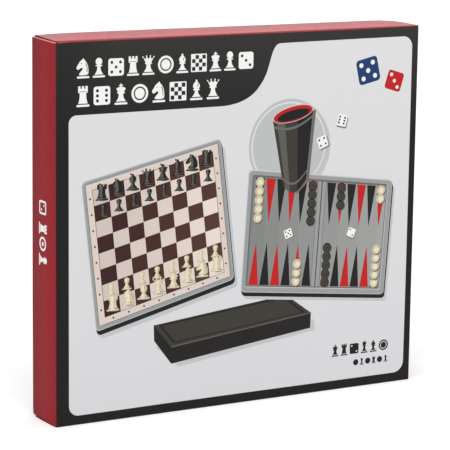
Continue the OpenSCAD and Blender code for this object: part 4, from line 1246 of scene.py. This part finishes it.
SLOT_MATS = {
    "white_board": M["liner"],
    "insert_board": liner("insert_board", (0.78, 0.76, 0.71)),
    "black_plastic": moulded("black_plastic", (0.020, 0.019, 0.019), 0.5, 1500),
    "steel_sheet": moulded("steel_sheet", (0.50, 0.51, 0.52), 0.33, 700, 0.00001, metal=1.0, stretch=(1.0, 1.0, 14.0)),
    "light_print": ink("board_cream", (0.74, 0.64, 0.50), rough=0.4),
    "dark_print": ink("board_brown", (0.085, 0.036, 0.024), rough=0.4),
    "grey_print": ink("board_grey", (0.32, 0.34, 0.35), rough=0.4),
    "black_ink": ink("board_black", (0.02, 0.02, 0.02), rough=0.4),
    "red_ink": ink("board_red", (0.45, 0.03, 0.04), rough=0.4),
    "steel_pin": moulded("steel_pin", (0.6, 0.6, 0.6), 0.3, 900, 0.00001, metal=1.0),
    "dark_men": moulded("dark_plastic_men", (0.05, 0.02, 0.014), 0.28, 900, 0.00001, coat=0.3),
    "light_men": moulded("ivory_plastic_men", (0.80, 0.72, 0.55), 0.3, 900, 0.00001, coat=0.3, mottle=0.02),
    "red_men": moulded("red_plastic_men", (0.36, 0.02, 0.03), 0.3, 900, 0.00001, coat=0.3),
    "magnet": moulded("ferrite", (0.10, 0.10, 0.10), 0.6, 1600, 0.00004),
    "dice_plastic": moulded("dice_plastic", (0.85, 0.84, 0.80), 0.22, 500, 0.000005, coat=0.4, mottle=0.015),
    "leaflet_paper": liner("leaflet_paper", (0.88, 0.88, 0.86)),
}


def clear_plastic():
    t = Tree("clear_plastic")
    g = t.noise(60, 3, 0.5)
    t.put(t.b.inputs["Base Color"], t.mix(g, (0.86, 0.90, 0.92), (0.92, 0.95, 0.96)))
    t.put(t.b.inputs["Roughness"], t.span(g, 0.3, 0.7, 0.04, 0.10))
    t.b.inputs["Transmission Weight"].default_value = 0.9
    t.b.inputs["IOR"].default_value = 1.5
    t.put(t.b.inputs["Normal"], t.bump(g, 0.00005, 0.3))
    return t.mat


SLOT_MATS["clear_plastic"] = clear_plastic()
slots = {p["node"]: p["material_slot"] for p in frame["record"]["subparts"]}
for name, o in NODES.items():
    o.data.materials.clear()
    o.data.materials.append(SLOT_MATS.get(slots[name], M["liner"]))

# ------------------------------------------------------------------ stage, light and camera


def floor():
    me = bpy.data.meshes.new("floor")
    s = 14.0
    me.from_pydata([(-s, -s, 0), (s, -s, 0), (s, s, 0), (-s, s, 0)], [], [(0, 1, 2, 3)])
    o = bpy.data.objects.new("floor", me)
    bpy.context.scene.collection.objects.link(o)
    t = Tree("floor")
    g = t.noise(3, 2, 0.5)
    t.put(t.b.inputs["Base Color"], t.mix(g, (0.93, 0.93, 0.93), (0.95, 0.95, 0.95)))
    t.b.inputs["Roughness"].default_value = 0.9
    t.b.inputs["Specular IOR Level"].default_value = 0.0
    t.b.inputs["Emission Color"].default_value = (1, 1, 1, 1)
    t.b.inputs["Emission Strength"].default_value = 0.14
    me.materials.append(t.mat)
    o.location.z = -0.0001


def area(name, loc, target, size, power, colour=(1, 1, 1)):
    d = bpy.data.lights.new(name, "AREA")
    d.shape = "RECTANGLE"
    d.size, d.size_y = size
    d.energy = power
    d.color = colour
    o = bpy.data.objects.new(name, d)
    o.location = loc
    o.rotation_mode = "QUATERNION"
    o.rotation_quaternion = (Vector(target) - Vector(loc)).to_track_quat("-Z", "Y")
    bpy.context.scene.collection.objects.link(o)
    return o


floor()
w = bpy.data.worlds.new("studio")
bpy.context.scene.world = w
w.use_nodes = True
bg = w.node_tree.nodes["Background"]
bg.inputs[0].default_value = (1, 1, 1, 1)
bg.inputs[1].default_value = 0.70

sd = bpy.data.lights.new("soft_key", "SUN")
sd.energy = 1.50
sd.angle = math.radians(55)
so = bpy.data.objects.new("soft_key", sd)
so.rotation_mode = "QUATERNION"
so.rotation_quaternion = Vector((0.5 * math.cos(math.radians(52)), 0.86 * math.cos(math.radians(52)), -math.sin(math.radians(52)))).to_track_quat("-Z", "Y")
bpy.context.scene.collection.objects.link(so)

# the camera stands where the photograph's own edges put it
CAM = Vector((-0.9986, -1.6987, 0.5206))
AZ, EL, ROLL = math.radians(30.34), math.radians(10.50), math.radians(0.79)
fwd = Vector((math.sin(AZ) * math.cos(EL), math.cos(AZ) * math.cos(EL), -math.sin(EL)))
right = Vector((math.cos(AZ), -math.sin(AZ), 0))
up = right.cross(fwd)
r2 = right * math.cos(ROLL) + up * math.sin(ROLL)
u2 = -right * math.sin(ROLL) + up * math.cos(ROLL)
cd = bpy.data.cameras.new("camera")
cd.sensor_width = 36
cd.lens = 182.57
cd.clip_start, cd.clip_end = 0.05, 60
cam = bpy.data.objects.new("camera", cd)
m = Matrix.Identity(4)
for i in range(3):
    m[i][0], m[i][1], m[i][2], m[i][3] = r2[i], u2[i], -fwd[i], CAM[i]
cam.matrix_world = m
bpy.context.scene.collection.objects.link(cam)
bpy.context.scene.camera = cam
bpy.context.scene.view_settings.view_transform = "Standard"
bpy.context.scene.view_settings.look = "None"
